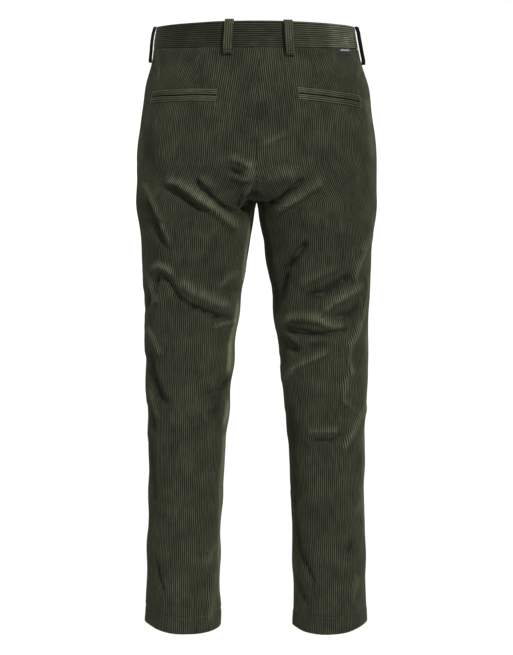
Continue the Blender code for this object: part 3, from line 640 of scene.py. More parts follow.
def ribbed_wall(name, side, face, rows, start, end, grain_share, sink=None, dents=None,
                hem_rows=0, allowances=(None, None), in_seat=None):
    """A piece of corduroy between two places across each row: its ribbed right side, its
    wrong side within, and closed edges. grain_share says where in a row the ribs are
    straight. sink lowers the whole piece, and the last hem_rows are turned up inside.
    allowances give, for either edge, each row's width of seam allowance, and
    in_seat says which rows lie above the crotch."""
    across, height = spread(rows, start, end, ARC_STEPS)
    plain = plain_surface(side, face, across, height)
    steps = np.linalg.norm(np.diff(plain, axis=1), axis=2)
    run = np.concatenate([np.zeros((len(rows), 1)), np.cumsum(steps, axis=1)], axis=1)
    before = start * PANEL_WIDTH
    grain = grain_share * (before + run[:, -1]) - before
    ribs = np.arange(-RIBS_EACH_WAY, RIBS_EACH_WAY)
    columns = (ribs[:, None] + RIB_PLACES).ravel() * RIB_PITCH
    levels = np.tile(RIB_LEVELS, len(ribs)) * RIB_HEIGHT
    if dents is back_dents:
        aside, up = dart_offset(side, photo_pixels(plain))

    ids = np.empty((len(rows), len(columns)), dtype=np.int64)
    all_across, all_height, all_lift, all_cut = [], [], [], []
    total = 0
    for index, row in enumerate(rows):
        width = run[index, -1]
        target = grain[index] + columns
        shift = np.zeros(len(columns))
        if dents is back_dents:
            dart = np.interp(0.0, side * aside[index], run[index])
            take = DART_TAKE * np.clip(np.interp(dart, run[index], up[index]), 0.0, 1.0)
            shifted = np.where(target < dart, np.minimum(dart, target + take), target)
            shift = shifted - target
            target = shifted
        target = np.where(target < EDGE_SNAP, 0.0, target)
        target = np.where(target > width - EDGE_SNAP, width, target)
        places, first, number = np.unique(target, return_index=True, return_inverse=True)
        ids[index] = total + number
        total += len(places)
        edge = (places == 0.0) | (places == width)
        rib = np.where(edge, 0.0, levels[first])
        to_edge = np.minimum(places, width - places)
        roll = EDGE_ROLL * np.clip(1 - to_edge / EDGE_ROLL_WIDTH, 0.0, 1.0) ** 2
        inwards = -1.0 if index >= len(rows) - hem_rows + 2 else 1.0
        row_across = np.interp(places, run[index], across[index])
        row_height = np.interp(places, run[index], height[index])
        all_across.append(row_across)
        all_height.append(row_height)
        all_lift.append(row.lift + inwards * (rib - roll))
        flat = places - grain[index] - np.where(edge, 0.0, shift[first])
        all_cut.append(np.stack([flat, row_height], axis=1))
    faces = grid_faces(ids)
    outside = len(faces)

    reach = [number for number, row in enumerate(rows[:len(rows) - hem_rows])
             if row.side_height >= rows[-1].side_height]
    picked = np.linspace(0, len(reach) - 1, WRONG_SIDE_ROWS).round().astype(int)
    picked = np.unique(picked)
    back_across, back_height = spread([rows[number] for number in picked], start[picked],
                                      end[picked], WRONG_SIDE_COLUMNS)
    lifts = [np.concatenate(all_lift), np.full(back_across.size, WRONG_SIDE_LIFT)]
    places = np.concatenate(all_across + [back_across.ravel()])
    heights = np.concatenate(all_height + [back_height.ravel()])
    lifts = np.concatenate(lifts)
    if sink is not None:
        lifts = lifts + sink(places, heights)
    placed = [cloth_points(side, face, places, heights, lifts, dents)]
    plain = plain_surface(side, face, places, heights)
    # Painted light for the colour: a painted highlight along each crease's crest and painted
    # shade in its trough, and on a back the painted light and shade of its own table, faded near
    # the seams.
    tone = creases(face, plain, places, np.zeros(2)) / FULL_PAINTED_SHADE_DEPTH
    if face > 0:
        below = np.where(plain[..., 2] < CROTCH_HEIGHT, 1 - places, 1.0)
        from_seam = np.minimum(places, below) * PANEL_WIDTH
        shades = crease_field(BACK_PAINTED_LIGHT, photo_pixels(plain), np.zeros(2)) / FULL_PAINTED_SHADE_DEPTH
        tone += shades * soft_step(from_seam / SHADE_FADE)
    painted_light = [np.where(tone > 0, CREST_SHARE * tone, tone)]
    cut = all_cut + [np.stack([places[total:] * PANEL_WIDTH, heights[total:]], axis=1)]
    back_ids = total + np.arange(back_across.size).reshape(back_across.shape)
    total += back_ids.size
    for column, wide in zip((0, -1), allowances):
        if wide is not None:
            flap = allowance(side, face, column, wide[picked], back_height[:, column],
                             in_seat[picked])
            flap_ids = total + np.arange(flap.size // 3).reshape(flap.shape[:2])
            total += flap_ids.size
            placed.append(flap.reshape(-1, 3))
            painted_light.append(np.zeros(flap_ids.size))
            cut.append(np.zeros((flap_ids.size, 2)))
            parts = (flap_ids, back_ids) if column == 0 else (back_ids, flap_ids[:, ::-1])
            back_ids = np.concatenate(parts, axis=1)
    placed = np.concatenate(placed)

    faces += grid_faces(back_ids)
    faces += lace(list(ids[:, 0]), list(back_ids[:, 0]))
    faces += lace(list(ids[:, -1]), list(back_ids[:, -1]))
    faces += lace(list(dict.fromkeys(ids[0])), list(back_ids[0]))
    faces += lace(list(dict.fromkeys(ids[-1])), list(back_ids[-1]))
    return finish_mesh(name, placed, faces, np.concatenate(cut),
                       range(outside, len(faces)), np.concatenate(painted_light))


def linear(hex_colour):
    """An sRGB hex colour as the linear values that a shader takes."""
    values = [int(hex_colour[place:place + 2], 16) / 255 for place in (1, 3, 5)]
    curve = [v / 12.92 if v <= 0.04045 else ((v + 0.055) / 1.055) ** 2.4 for v in values]
    return (*curve, 1.0)


def feed(material, node, inputs):
    """Give a node its inputs, each a value or the socket that feeds it."""
    for key, value in inputs.items():
        if isinstance(value, bpy.types.NodeSocket):
            material.node_tree.links.new(value, node.inputs[key])
        else:
            node.inputs[key].default_value = value


def add_node(material, kind, inputs=None, **settings):
    """Add a node with its settings and inputs."""
    node = material.node_tree.nodes.new(kind)
    for key, value in settings.items():
        setattr(node, key, value)
    feed(material, node, inputs or {})
    return node


def sum_of(material, operation, *values):
    """The result of one sum on numbers and sockets."""
    return add_node(material, "ShaderNodeMath", dict(enumerate(values)),
                    operation=operation).outputs[0]


def noise_at(material, place, scale, **inputs):
    """A soft random pattern from 0 to 1."""
    return add_node(material, "ShaderNodeTexNoise",
                    {"Vector": place, "Scale": scale, **inputs}).outputs["Fac"]


def ramp_over(material, value, first, last, *between):
    """A blend of colours over a value. Each is given as its place and its hex colour."""
    node = add_node(material, "ShaderNodeValToRGB", {"Fac": value})
    for element, (place, colour) in zip(node.color_ramp.elements, (first, last)):
        element.position, element.color = place, linear(colour)
    for place, colour in between:
        node.color_ramp.elements.new(place).color = linear(colour)
    return node.outputs["Color"]


def bump_of(material, height, strength, distance):
    """Normals of a fine unevenness."""
    return add_node(material, "ShaderNodeBump", {"Height": height, "Strength": strength,
                                                 "Distance": distance}).outputs["Normal"]


def object_place(material):
    """Places on the finished object, in metres."""
    return add_node(material, "ShaderNodeTexCoord").outputs["Object"]


def cut_place(material):
    """Places on the flat cloth before it is sewn, in metres."""
    return add_node(material, "ShaderNodeUVMap", uv_map="Cut").outputs["UV"]


def new_material(name, roughness, specular):
    """A material and its shader, with the gloss that is the same all over."""
    material = bpy.data.materials.new(name)
    material.use_nodes = True
    shader = material.node_tree.nodes["Principled BSDF"]
    feed(material, shader, {"Roughness": roughness, "Specular IOR Level": specular})
    return material, shader


def corduroy(name, rib_top, rib_side_shaded, furrow_shaded):
    """Cotton corduroy, woven with a cut and brushed pile. The pile is dark looked straight
    into and soft and pale at a glancing angle. Its rib sides and almost black furrows are
    painted shade in the colour, and a per-point attribute paints highlights on crests and
    shade in troughs over it. Fibre noise is drawn at 0.5 mm, because single 0.02 mm fibres are
    too fine to show."""
    material, shader = new_material(name, 0.92, 0.15)
    place = cut_place(material)
    over = add_node(material, "ShaderNodeSeparateXYZ", {"Vector": place}).outputs["X"]
    phase = sum_of(material, "FRACT", sum_of(material, "MULTIPLY", over, 1 / RIB_PITCH))
    from_top = sum_of(material, "ABSOLUTE", sum_of(material, "SUBTRACT", phase, 0.5))
    # painted shade: the rib sides darker and the furrows almost black, on ribs that the mesh
    # already shapes
    ribs = ramp_over(material, from_top, (0.12, rib_top), (0.47, furrow_shaded), (0.34, rib_side_shaded))

    # brushed nap: streaks a rib wide and some centimetres long, along the ribs
    streak_place = add_node(material, "ShaderNodeVectorMath", {0: place, 1: (420.0, 38.0, 1.0)},
                            operation="MULTIPLY").outputs[0]
    solid_place = object_place(material)
    fibres = noise_at(material, solid_place, 2000.0, Detail=1.0)
    # painted light: a per-point attribute lightens the colour as a painted highlight on crests
    # and darkens it as painted shade in troughs and along shaded edges
    painted_light = add_node(material, "ShaderNodeAttribute", attribute_name="PaintedLight").outputs["Fac"]
    shade = sum_of(material, "POWER", PAINTED_SHADE_FACTOR, painted_light)
    for pattern, strength in ((noise_at(material, streak_place, 1.0, Detail=3.0), 1.5),
                              (noise_at(material, solid_place, 34.0, Detail=4.0), 1.3),
                              (fibres, 0.8)):
        part = sum_of(material, "MULTIPLY_ADD", pattern, strength, 1 - strength / 2)
        shade = sum_of(material, "MULTIPLY", shade, part)
    colour = add_node(material, "ShaderNodeVectorMath", {0: ribs, "Scale": shade},
                      operation="SCALE").outputs[0]
    feed(material, shader, {"Base Color": colour, "Sheen Weight": 0.55,
                            "Sheen Roughness": 0.42, "Sheen Tint": linear("#8B8D6E"),
                            "Normal": bump_of(material, fibres, 0.35, 0.0004)})
    return material


def plain_weave(name, dark, light, fineness):
    """A flat woven cloth or tape with no pile, dull, its diagonal lines just told apart."""
    material, shader = new_material(name, 0.88, 0.25)
    place = object_place(material)
    weave = add_node(material, "ShaderNodeTexWave",
                     {"Vector": place, "Scale": fineness / WEAVE_FINENESS,
                      "Distortion": 0.6, "Detail": 1.0},
                     bands_direction="DIAGONAL").outputs["Fac"]
    clouds = noise_at(material, place, 40.0)
    shade = sum_of(material, "MULTIPLY_ADD", weave, 0.25, clouds)
    feed(material, shader, {"Base Color": ramp_over(material, shade, (0.30, dark), (0.85, light)),
                            "Normal": bump_of(material, weave, 0.3, 0.0003)})
    return material


def sheet_piece(piece, node, materials):
    """Everything that is said about one piece of cloth that stands for a CAD node."""
    for material in materials:
        piece.data.materials.append(material)
    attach(piece, "root")
    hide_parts(node)


SIDES = ((+1, "left"), (-1, "right"))
panel_corduroy = corduroy("olive_corduroy", "#454737", "#1A1B14", "#070805")
wrong_side_cloth = plain_weave("corduroy_wrong_side", "#20211A", "#34352C", 1600)

BACK_CUT = (0.325, 0.990)
FRONT_CUT = (0.300, 0.990)
GRAIN_PLACE = 0.5         # share across a panel where its ribs hang straight, and how much
GRAIN_LEAN = 0.12         # nearer the centre seam that is above the legs
all_rows = panel_rows()
side_height = np.array([row.side_height for row in all_rows])
seat_rows = side_height > FAN_LOW + ROW_STEP / 2
edge_margin = np.full(len(all_rows), SEAM_MARGIN)
whole = np.full(len(all_rows), ALLOWANCE_WIDTH)
above = np.where(seat_rows, ALLOWANCE_WIDTH, NO_ALLOWANCE)
below = np.where(seat_rows, NO_ALLOWANCE, ALLOWANCE_WIDTH)
up_seat = soft_step((side_height - FAN_LOW) / (SEAT_HEIGHT - FAN_LOW))
grain_share = GRAIN_PLACE + GRAIN_LEAN * up_seat
for side, side_name in SIDES:
    on_left = side > 0
    for face_name, face, mouth, dents, flat, allowances in (
            ("back", +1, 0.0, back_dents, BACK_CUT, (whole, whole if on_left else below)),
            ("front", -1, mouth_across(side, side_height), front_dents, FRONT_CUT,
             (None, above if on_left else None))):
        panel = ribbed_wall(f"{face_name}_{side_name}_panel", side, face, all_rows,
                            edge_margin + mouth, 1 - edge_margin, grain_share, dents=dents,
                            hem_rows=len(HEM_INSIDE), allowances=allowances,
                            in_seat=seat_rows)
        sheet_piece(panel, f"{face_name}_{side_name}",
                    (panel_corduroy, wrong_side_cloth))

# ---- Slant side pockets --------------------------------------------------------------------
# A facing of the same corduroy closes each slant pocket behind its mouth. It is sewn into
# the side seam and the band, and runs on under the front, whose mouth edge is topstitched.

FACING_SINK = 0.0020          # how deep it lies under the front at the mouth
FACING_UNDERLAP = 0.048       # as a share of the front's width
FACING_TAIL, FACING_ROWS = 0.004, 44      # past the mouth's low end, and rows of points
CLOSED_MOUTH = 0.03           # the mouth counts as closed below this share across
LEAST_MOUTH = 1e-4

facing_heights = np.linspace(BAND_SEAM_HEIGHT - SEAM_GAP, POCKET_MOUTH_END - FACING_TAIL,
                             FACING_ROWS)
facing_rows = [Row(height, height, 0.0) for height in facing_heights]
for side, side_name in SIDES:

    def facing_sink(across, height, side=side):
        """The facing is level with the back at the side seam and deep at the mouth."""
        mouth = mouth_across(side, height)
        closed = 1 - np.clip(mouth / CLOSED_MOUTH, 0.0, 1.0)
        share = np.clip(across / np.maximum(mouth, LEAST_MOUTH), 0.0, 1.0)
        return -FACING_SINK * np.maximum(soft_step(share), closed)

    mouth = mouth_across(side, facing_heights)
    facing = ribbed_wall(f"pocket_facing_{side_name}", side, -1, facing_rows,
                         np.full(len(facing_rows), SEAM_MARGIN), mouth + FACING_UNDERLAP,
                         np.zeros(len(facing_rows)), sink=facing_sink)
    sheet_piece(facing, f"side_pocket_facing_{side_name}",
                (panel_corduroy, wrong_side_cloth))


# spun polyester sewing thread, matched to the cloth, twisted, with a faint gloss
olive_thread, thread_shader = new_material("olive_thread", 0.6, 0.35)
twist = noise_at(olive_thread, object_place(olive_thread), 1500.0)
feed(olive_thread, thread_shader,
     {"Base Color": ramp_over(olive_thread, twist, (0.0, "#2A2B22"), (1.0, "#6A6B5A"))})
STITCH_SPACING, STITCH_LENGTH, STITCH_THICKNESS = 0.0042, 0.0030, 0.0006
STITCH_LIFT = -0.0002
STITCH_SIDES, STITCH_RINGS = 6, ((-0.5, 0.45), (-0.3, 1.0), (0.3, 1.0), (0.5, 0.45))
UPRIGHT = (0.0, 0.0, 1.0)


def sew(name, places, directions, outs, length, thickness,
        material=olive_thread):
    """Stitches as small rounded bars of thread, each at a place, lying in a direction. Its
    rings are given as places along the stitch and shares of the thickness."""
    directions = np.broadcast_to(directions, places.shape)
    outs = np.broadcast_to(outs, places.shape)
    directions = directions / np.linalg.norm(directions, axis=1, keepdims=True)
    across = np.cross(outs, directions)
    across /= np.linalg.norm(across, axis=1, keepdims=True)
    outs = np.cross(directions, across)
    turn = np.arange(STITCH_SIDES)
    angle = turn / STITCH_SIDES * 2 * math.pi
    rings = []
    for along, swell in STITCH_RINGS:
        radius = thickness / 2 * swell
        reach = (np.cos(angle)[None, :, None] * across[:, None]
                 + np.sin(angle)[None, :, None] * outs[:, None]) * radius
        rings.append(places[:, None] + directions[:, None] * along * length + reach)
    points = np.stack(rings, axis=1)
    faces = []
    last = (len(STITCH_RINGS) - 1) * STITCH_SIDES
    for base in range(0, points.size // 3, last + STITCH_SIDES):
        for first in range(base, base + last, STITCH_SIDES):
            after = first + (turn + 1) % STITCH_SIDES
            faces += np.stack([first + turn, after, after + STITCH_SIDES,
                               first + turn + STITCH_SIDES], axis=1).tolist()
        faces.append((base + turn).tolist()[::-1])
        faces.append((base + last + turn).tolist())
    piece = finish_mesh(name, points.reshape(-1, 3), faces, np.zeros((points.size // 3, 2)))
    piece.data.materials.append(material)
    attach(piece, "root")


def stitched_line(name, line, outs):
    """A row of stitches along a line of points, with the way out of the cloth at each."""
    steps = np.linalg.norm(np.diff(line, axis=0), axis=1)
    run = np.concatenate([[0.0], np.cumsum(steps)])
    spots = np.arange(STITCH_SPACING / 2, run[-1], STITCH_SPACING)
    before, places, after = (
        np.stack([np.interp(spots + shift, run, line[:, axis]) for axis in range(3)], 1)
        for shift in (-STITCH_SPACING / 4, 0.0, STITCH_SPACING / 4))
    share = np.linspace(0.0, 1.0, len(line))
    spots = np.linspace(0.0, 1.0, len(places))
    out = np.stack([np.interp(spots, share, outs[:, axis]) for axis in range(3)], axis=1)
    sew(name, places, after - before, out, STITCH_LENGTH, STITCH_THICKNESS)


MOUTH_STITCH_ENDS = (BAND_SEAM_HEIGHT - 0.002, POCKET_MOUTH_END + 0.006)
MOUTH_STITCH_STEPS = 60
for side, side_name in SIDES:
    height = np.linspace(*MOUTH_STITCH_ENDS, MOUTH_STITCH_STEPS)
    across = SEAM_MARGIN + mouth_across(side, height) + MOUTH_STITCH / PANEL_WIDTH
    line = cloth_points(side, -1, across, height, STITCH_LIFT, front_dents)
    stitched_line(f"pocket_mouth_stitching_{side_name}", line,
                  surface_normals(side, -1, across, height))

# ---- Back pockets --------------------------------------------------------------------------
# Each is a double-welt pocket: a slit between two folded lips of corduroy, cut with their
# ribs along the slit, set in a window of the back panel and tacked down at both ends.

LIP_GAP = 0.0006              # half the slit
LIP_SEAT, LIP_TOP, LIP_CROWN = -0.0006, 0.0006, 0.0012
LIP_STEPS = 56
POCKET_TACK_REACH = 0.7       # of the pocket's height, up and down from the slit
POCKET_TACK_STITCHES = 12
POCKET_TACK_LENGTH, POCKET_TACK_THICKNESS = 0.0022, 0.0007
LIP_PAINTED_HIGHLIGHT = (0.1, 0.55)         # painted highlight along the lips, most at the inner end


def rib_lines(width):
    """Places across a strip that hold whole ribs, how deep each lies, with both edges
    folded under, and the places on the flat cloth."""
    count = max(1, round(width / RIB_PITCH))
    phases = np.append((np.arange(count)[:, None] + RIB_PLACES).ravel(), count)
    levels = np.append(np.tile(RIB_LEVELS, count), -1.0) * RIB_HEIGHT
    levels[[0, -1]] = -EDGE_ROLL
    levels[[1, -2]] -= 0.25 * EDGE_ROLL
    return phases * width / count, levels, phases * RIB_PITCH


def wall(name, outer, inner, flat_over, flat_along, painted_light=0.0):
    """A closed wall between two grids of points with the same rows and columns. The last
    argument is painted light on its outside: + paints a highlight, - paints shade."""
    rows, columns = outer.shape[:2]
    ids = np.arange(rows * columns).reshape(rows, columns)
    beneath = ids + rows * columns
    faces = grid_faces(ids)
    outside = len(faces)
    faces += grid_faces(beneath[:, ::-1])
    rim = np.concatenate([ids[0], ids[1:, -1], ids[-1, -2::-1], ids[-2:0:-1, 0]])
    after = np.roll(rim, -1)
    faces += np.stack([after, rim, rim + ids.size, after + ids.size], axis=1).tolist()
    points = np.concatenate([outer.reshape(-1, 3), inner.reshape(-1, 3)])
    flat = np.stack(np.broadcast_arrays(flat_over[:, None], flat_along[None, :]), axis=-1)
    cut = np.concatenate([flat.reshape(-1, 2)] * 2)
    painted_per_point = np.concatenate([np.broadcast_to(painted_light, ids.shape).ravel(), np.zeros(ids.size)])
    return finish_mesh(name, points, faces, cut, range(outside, len(faces)), painted_per_point)


def across_at(side, x, height):
    """The place across a back panel whose distance from the centre plane is x."""
    across = np.linspace(0.0, 1.0, 4 * RING_STEPS + 1)
    found = []
    for one_x, one_height in zip(x, height):
        ring = plain_surface(side, +1, across, np.full(across.shape, one_height))
        found.append(np.interp(-one_x, -side * ring[:, 0], across))
    return np.array(found)


for side, side_name in SIDES:
    welt = WELTS[side]
    x = np.linspace(welt.outer_x, welt.inner_x, LIP_STEPS)
    slit, _ = slit_height(side, side * x)
    across = across_at(side, x, slit)
    over, levels, flat_over = rib_lines(WELT_HEIGHT)
    for lip_name, way in (("upper", 1), ("lower", -1)):
        height = slit + way * (LIP_GAP + over[:, None])
        spots = np.broadcast_to(across, height.shape)
        crown = LIP_CROWN * np.sin(math.pi * over / over[-1])
        lift = LIP_TOP + (crown + levels)[:, None] + 0 * height
        outer = cloth_points(side, +1, spots, height, lift)
        inner = cloth_points(side, +1, spots, height, LIP_SEAT)
        lip = wall(f"pocket_lip_{lip_name}_{side_name}", outer, inner, flat_over,
                   x - welt.inner_x, np.linspace(*LIP_PAINTED_HIGHLIGHT, len(x)))
        sheet_piece(lip, f"pocket_welt_{lip_name}_{side_name}",
                    (panel_corduroy, wrong_side_cloth))
    for end_name, end in (("outer", 0), ("inner", -1)):
        reach = np.linspace(-POCKET_TACK_REACH, POCKET_TACK_REACH, POCKET_TACK_STITCHES)
        height = slit[end] + reach * WELT_HEIGHT
        spots = np.full(POCKET_TACK_STITCHES, across[end])
        places = cloth_points(side, +1, spots, height, LIP_TOP)
        outs = surface_normals(side, +1, spots, height)
        sew(f"pocket_tack_{end_name}_{side_name}", places, np.cross(outs, UPRIGHT), outs,
            POCKET_TACK_LENGTH, POCKET_TACK_THICKNESS)

# ---- Waistband -------------------------------------------------------------------------------
# One long strip of the corduroy with its ribs running round the waist, folded over
# interlining and sewn over the panels' top edges. Its left end laps over its right in front.

BAND_CLOTH = 0.0020
BAND_TOP_SIDE = 0.0105
BAND_TOP_BACK_RISE = 0.0060
BAND_TOP_FRONT_DROP = 0.0030
BAND_OVER_LENGTH = 0.020
BAND_UNDER_LENGTH = 0.035
BAND_SINK_SPAN = (1.15, 2.3)
BAND_COLUMNS = 250
BAND_LAP_COLUMNS = 60
BAND_CUT = (0.0395, 0.955)
# Painted light along the back of the band, by pixels across: painted shade over its left part and
# a painted highlight towards its right end, where the key light falls.
BAND_PAINTED_LIGHT_PLACES = (158, 180, 222, 240, 283, 298, 322, 332, 353, 359)      # pixels across
BAND_PAINTED_LIGHT = (-0.4, -0.45, -0.35, -0.2, -0.2, 0.15, 0.25, 0.68, 0.72, -0.6)
BAND_PAINTED_LIGHT_FADE = 0.03
BAND_TAIL, BAND_TAIL_LIFTS = 0.005, (-0.0024, -0.0030)
BUTTONHOLE_START, BUTTONHOLE_END = -0.002, 0.0165     # left of the centre front
BUTTONHOLE_HEIGHT = -0.0069
BUTTONHOLE_SINK, BUTTONHOLE_HALF_WIDTH = 0.0014, 0.0009
HOLE_STITCH_STEP, HOLE_STITCH_AWAY, HOLE_STITCH_LIFT = 0.0009, 0.0013, 0.0001
HOLE_STITCH_LENGTH, HOLE_STITCH_THICKNESS = 0.0018, 0.0008


def ring_points(angle, height, lift):
    """Points of the hip ring at an angle in radians from +X, at a lift from its surface."""
    angle, height, lift = np.broadcast_arrays(angle, height, lift)
    half_width = curve_through(HIP_SECTIONS, "half_width", height)
    back = curve_through(HIP_SECTIONS, "back", height)
    front = curve_through(HIP_SECTIONS, "front", height)
    depth = np.where(np.sin(angle) > 0, back, front)
    normal = np.stack([depth * np.cos(angle), half_width * np.sin(angle)], axis=-1)
    normal /= np.linalg.norm(normal, axis=-1, keepdims=True)
    x = half_width * np.cos(angle)
    y = depth * np.sin(angle)
    lift = lift + ripple_rise(np.stack([x, y, height + 0 * x], axis=-1))
    x = x + lift * normal[..., 0]
    y = y + lift * normal[..., 1]
    return np.stack([x, y, height + 0 * x], axis=-1)


def band_top(angle):
    """Height of the waistband's top edge round the waist."""
    around = np.sin(angle)
    rise = BAND_TOP_BACK_RISE * np.clip(around, 0, 1) ** 2
    drop = BAND_TOP_FRONT_DROP * np.clip(-around, 0, 1) ** 2
    return BAND_TOP_SIDE + rise - drop


front_radius = curve_through(HIP_SECTIONS, "half_width", np.array(0.0))
under = BAND_UNDER_LENGTH / front_radius
over_turn = BAND_OVER_LENGTH / front_radius
turn = np.concatenate([
    np.linspace(-under, 2 * math.pi - over_turn, BAND_COLUMNS, endpoint=False),
    np.linspace(2 * math.pi - over_turn, 2 * math.pi + over_turn, BAND_LAP_COLUMNS),
])
angle = -math.pi / 2 - turn
sink_start, sink_end = over_turn * BAND_SINK_SPAN[0], over_turn * BAND_SINK_SPAN[1]
sunk = soft_step((sink_end - turn) / (sink_end - sink_start))
over, levels, flat_over = rib_lines(BAND_CUT[0])
height = BAND_SEAM_HEIGHT + (over / over[-1])[:, None] * (band_top(angle) - BAND_SEAM_HEIGHT)
lift = levels[:, None] - (BAND_CLOTH + SEAM_GAP) * sunk
left_of_centre = -np.sin(turn) * front_radius
on_lap = turn > 2 * math.pi - 1
in_hole = (left_of_centre > BUTTONHOLE_START) & (left_of_centre < BUTTONHOLE_END) & on_lap
hole = np.exp(-((height - BUTTONHOLE_HEIGHT) / BUTTONHOLE_HALF_WIDTH) ** 2) * in_hole
facing_lift = np.full(len(over), -BAND_CLOTH)
facing_lift[1], facing_lift[2:4] = BAND_TAIL_LIFTS
facing_height = height.copy()
facing_height[1:3] = BAND_SEAM_HEIGHT - BAND_TAIL
facing_lift = facing_lift[:, None] - (BAND_CLOTH + SEAM_GAP) * sunk
outer = ring_points(angle, height, lift - BUTTONHOLE_SINK * hole)
# painted light and shade on the band's back half only, from the table above
behind = soft_step(outer[..., 1] / BAND_PAINTED_LIGHT_FADE)
painted_light = behind * np.interp(photo_pixels(outer)[..., 0], BAND_PAINTED_LIGHT_PLACES, BAND_PAINTED_LIGHT)
band = wall("waistband_strip", outer, ring_points(angle, facing_height, facing_lift),
            flat_over, turn * front_radius, painted_light)
band_corduroy = corduroy("olive_corduroy_band", "#434536", "#1E2017", "#090A07")
band_facing = plain_weave("band_facing_twill", "#262720", "#3B3C31", 1600)
sheet_piece(band, "waistband", (band_corduroy, band_facing))

spots = np.arange(BUTTONHOLE_START, BUTTONHOLE_END, HOLE_STITCH_STEP)
hole_angle = -math.pi / 2 + np.tile(spots / front_radius, 2)
away = np.repeat([-HOLE_STITCH_AWAY, HOLE_STITCH_AWAY], len(spots))
places = ring_points(hole_angle, BUTTONHOLE_HEIGHT + away, HOLE_STITCH_LIFT)
outs = ring_points(hole_angle, BUTTONHOLE_HEIGHT + away, 1.0) - places
sew("buttonhole_stitching", places, UPRIGHT, outs, HOLE_STITCH_LENGTH,
    HOLE_STITCH_THICKNESS)

# ---- Waist button ----------------------------------------------------------------------------
# A four-hole button of dark horn-like resin, turned with a raised rim and a dished middle,
# and sewn with thread to the band's lapped end at the centre front.

BUTTON_RADIUS, BUTTON_THICKNESS = 0.0085, 0.0030
BUTTON_RIM, BUTTON_DISH, BUTTON_DISH_DEPTH = 0.0014, 0.0008, 0.0007
BUTTON_EDGE, BUTTON_STEP = 0.0006, 0.0004
BUTTON_SIDES, HOLE_SIDES = 72, 20
BUTTON_THREAD_SPREAD = 0.8    # of two of its bars, against the other two
BUTTON_THREAD_LIFT, BUTTON_THREAD_PAST, BUTTON_THREAD_THICKNESS = 0.0002, 0.0006, 0.0009
HOLE_RADIUS, HOLE_PLACE = 0.00085, 0.0018


def select_faces(mesh, wanted):
    """In edit mode, select just the faces whose middle passes a test."""
    bpy.ops.mesh.select_all(action="DESELECT")
    work = bmesh.from_edit_mesh(mesh)
    for part in work.faces:
        part.select_set(bool(wanted(part)))
    work.select_flush_mode()
    bmesh.update_edit_mesh(mesh)


bpy.ops.object.select_all(action="DESELECT")
bpy.ops.mesh.primitive_cylinder_add(vertices=BUTTON_SIDES, radius=BUTTON_RADIUS,
                                    depth=BUTTON_THICKNESS, location=(0.0, 0.0, 0.0))
button = bpy.context.object
button.name = "button_turned"
bpy.ops.object.mode_set(mode="EDIT")
bpy.ops.mesh.select_mode(type="FACE")
select_faces(button.data, lambda part: abs(part.normal.z) > 0.5)
bpy.ops.mesh.bevel(offset=BUTTON_EDGE, segments=4)
select_faces(button.data, lambda part: part.normal.z > 0.99 and len(part.verts) > 8)
bpy.ops.mesh.inset(thickness=BUTTON_RIM - BUTTON_EDGE)
bpy.ops.mesh.inset(thickness=BUTTON_DISH, depth=-BUTTON_DISH_DEPTH)
bpy.ops.mesh.inset(thickness=BUTTON_STEP)
bpy.ops.object.mode_set(mode="OBJECT")
for across_sign in (-1, 1):
    for up_sign in (-1, 1):
        place = (across_sign * HOLE_PLACE, up_sign * HOLE_PLACE, 0.0)
        bpy.ops.mesh.primitive_cylinder_add(vertices=HOLE_SIDES, radius=HOLE_RADIUS,
                                            depth=2 * BUTTON_THICKNESS, location=place)
        drill = bpy.context.object
        hole = button.modifiers.new("hole", "BOOLEAN")
        hole.object = drill
        hole.operation = "DIFFERENCE"
        hole.solver = "EXACT"
        bpy.context.view_layer.objects.active = button
        bpy.ops.object.modifier_apply(modifier="hole")
        bpy.data.objects.remove(drill, do_unlink=True)
button_middle = (BAND_SEAM_HEIGHT + BAND_TOP_SIDE) / 2
ends = ring_points(-math.pi / 2, button_middle + np.array([-1.0, 1.0]) * BUTTON_RADIUS, 0.0)
button_up = (ends[1] - ends[0]) / np.linalg.norm(ends[1] - ends[0])
button_across = np.array([1.0, 0.0, 0.0])
button_out = np.cross(button_across, button_up)
button_foot = ends.mean(axis=0) + 1.5 * SEAM_GAP * button_out
turned = np.eye(4)
turned[:3, 0], turned[:3, 1], turned[:3, 2] = button_across, button_up, button_out
turned[:3, 3] = button_foot + button_out * BUTTON_THICKNESS / 2
button.data.transform(Matrix(turned.tolist()))
bpy.ops.object.select_all(action="DESELECT")
button.select_set(True)
bpy.context.view_layer.objects.active = button
bpy.ops.object.shade_smooth_by_angle(angle=math.radians(35))

# polished resin with drifting brown bands, as of horn, and fine turning marks
resin, resin_shader = new_material("dark_horn_resin", 0.28, 0.5)
resin_place = object_place(resin)
drift = noise_at(resin, resin_place, 140.0, Detail=4.0, Distortion=1.6)
gloss = sum_of(resin, "MULTIPLY_ADD", noise_at(resin, resin_place, 1800.0), 0.25, 0.18)
feed(resin, resin_shader, {
    "Base Color": ramp_over(resin, drift, (0.32, "#1D1712"), (0.72, "#4A3A2A")),
    "Roughness": gloss})
button.data.materials.clear()
button.data.materials.append(resin)
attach(button, "root")
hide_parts("waist_button")

bars = np.array([(-1.0, 0.0), (1.0, 0.0), (-BUTTON_THREAD_SPREAD, 0.0),
                 (BUTTON_THREAD_SPREAD, 0.0)]) * HOLE_PLACE
bar_level = BUTTON_THICKNESS - BUTTON_DISH_DEPTH + BUTTON_THREAD_LIFT
places = (button_foot + bars[:, :1] * button_across + bars[:, 1:] * button_up
          + bar_level * button_out)
sew("button_thread", places, button_up, button_out, 2 * HOLE_PLACE + BUTTON_THREAD_PAST,
    BUTTON_THREAD_THICKNESS)

# ---- Belt loops ------------------------------------------------------------------------------
# Six narrow strips of corduroy with their ribs upright, folded to three layers, caught in
# the band's top edge and bar-tacked just below its seam, so that a belt passes behind them.

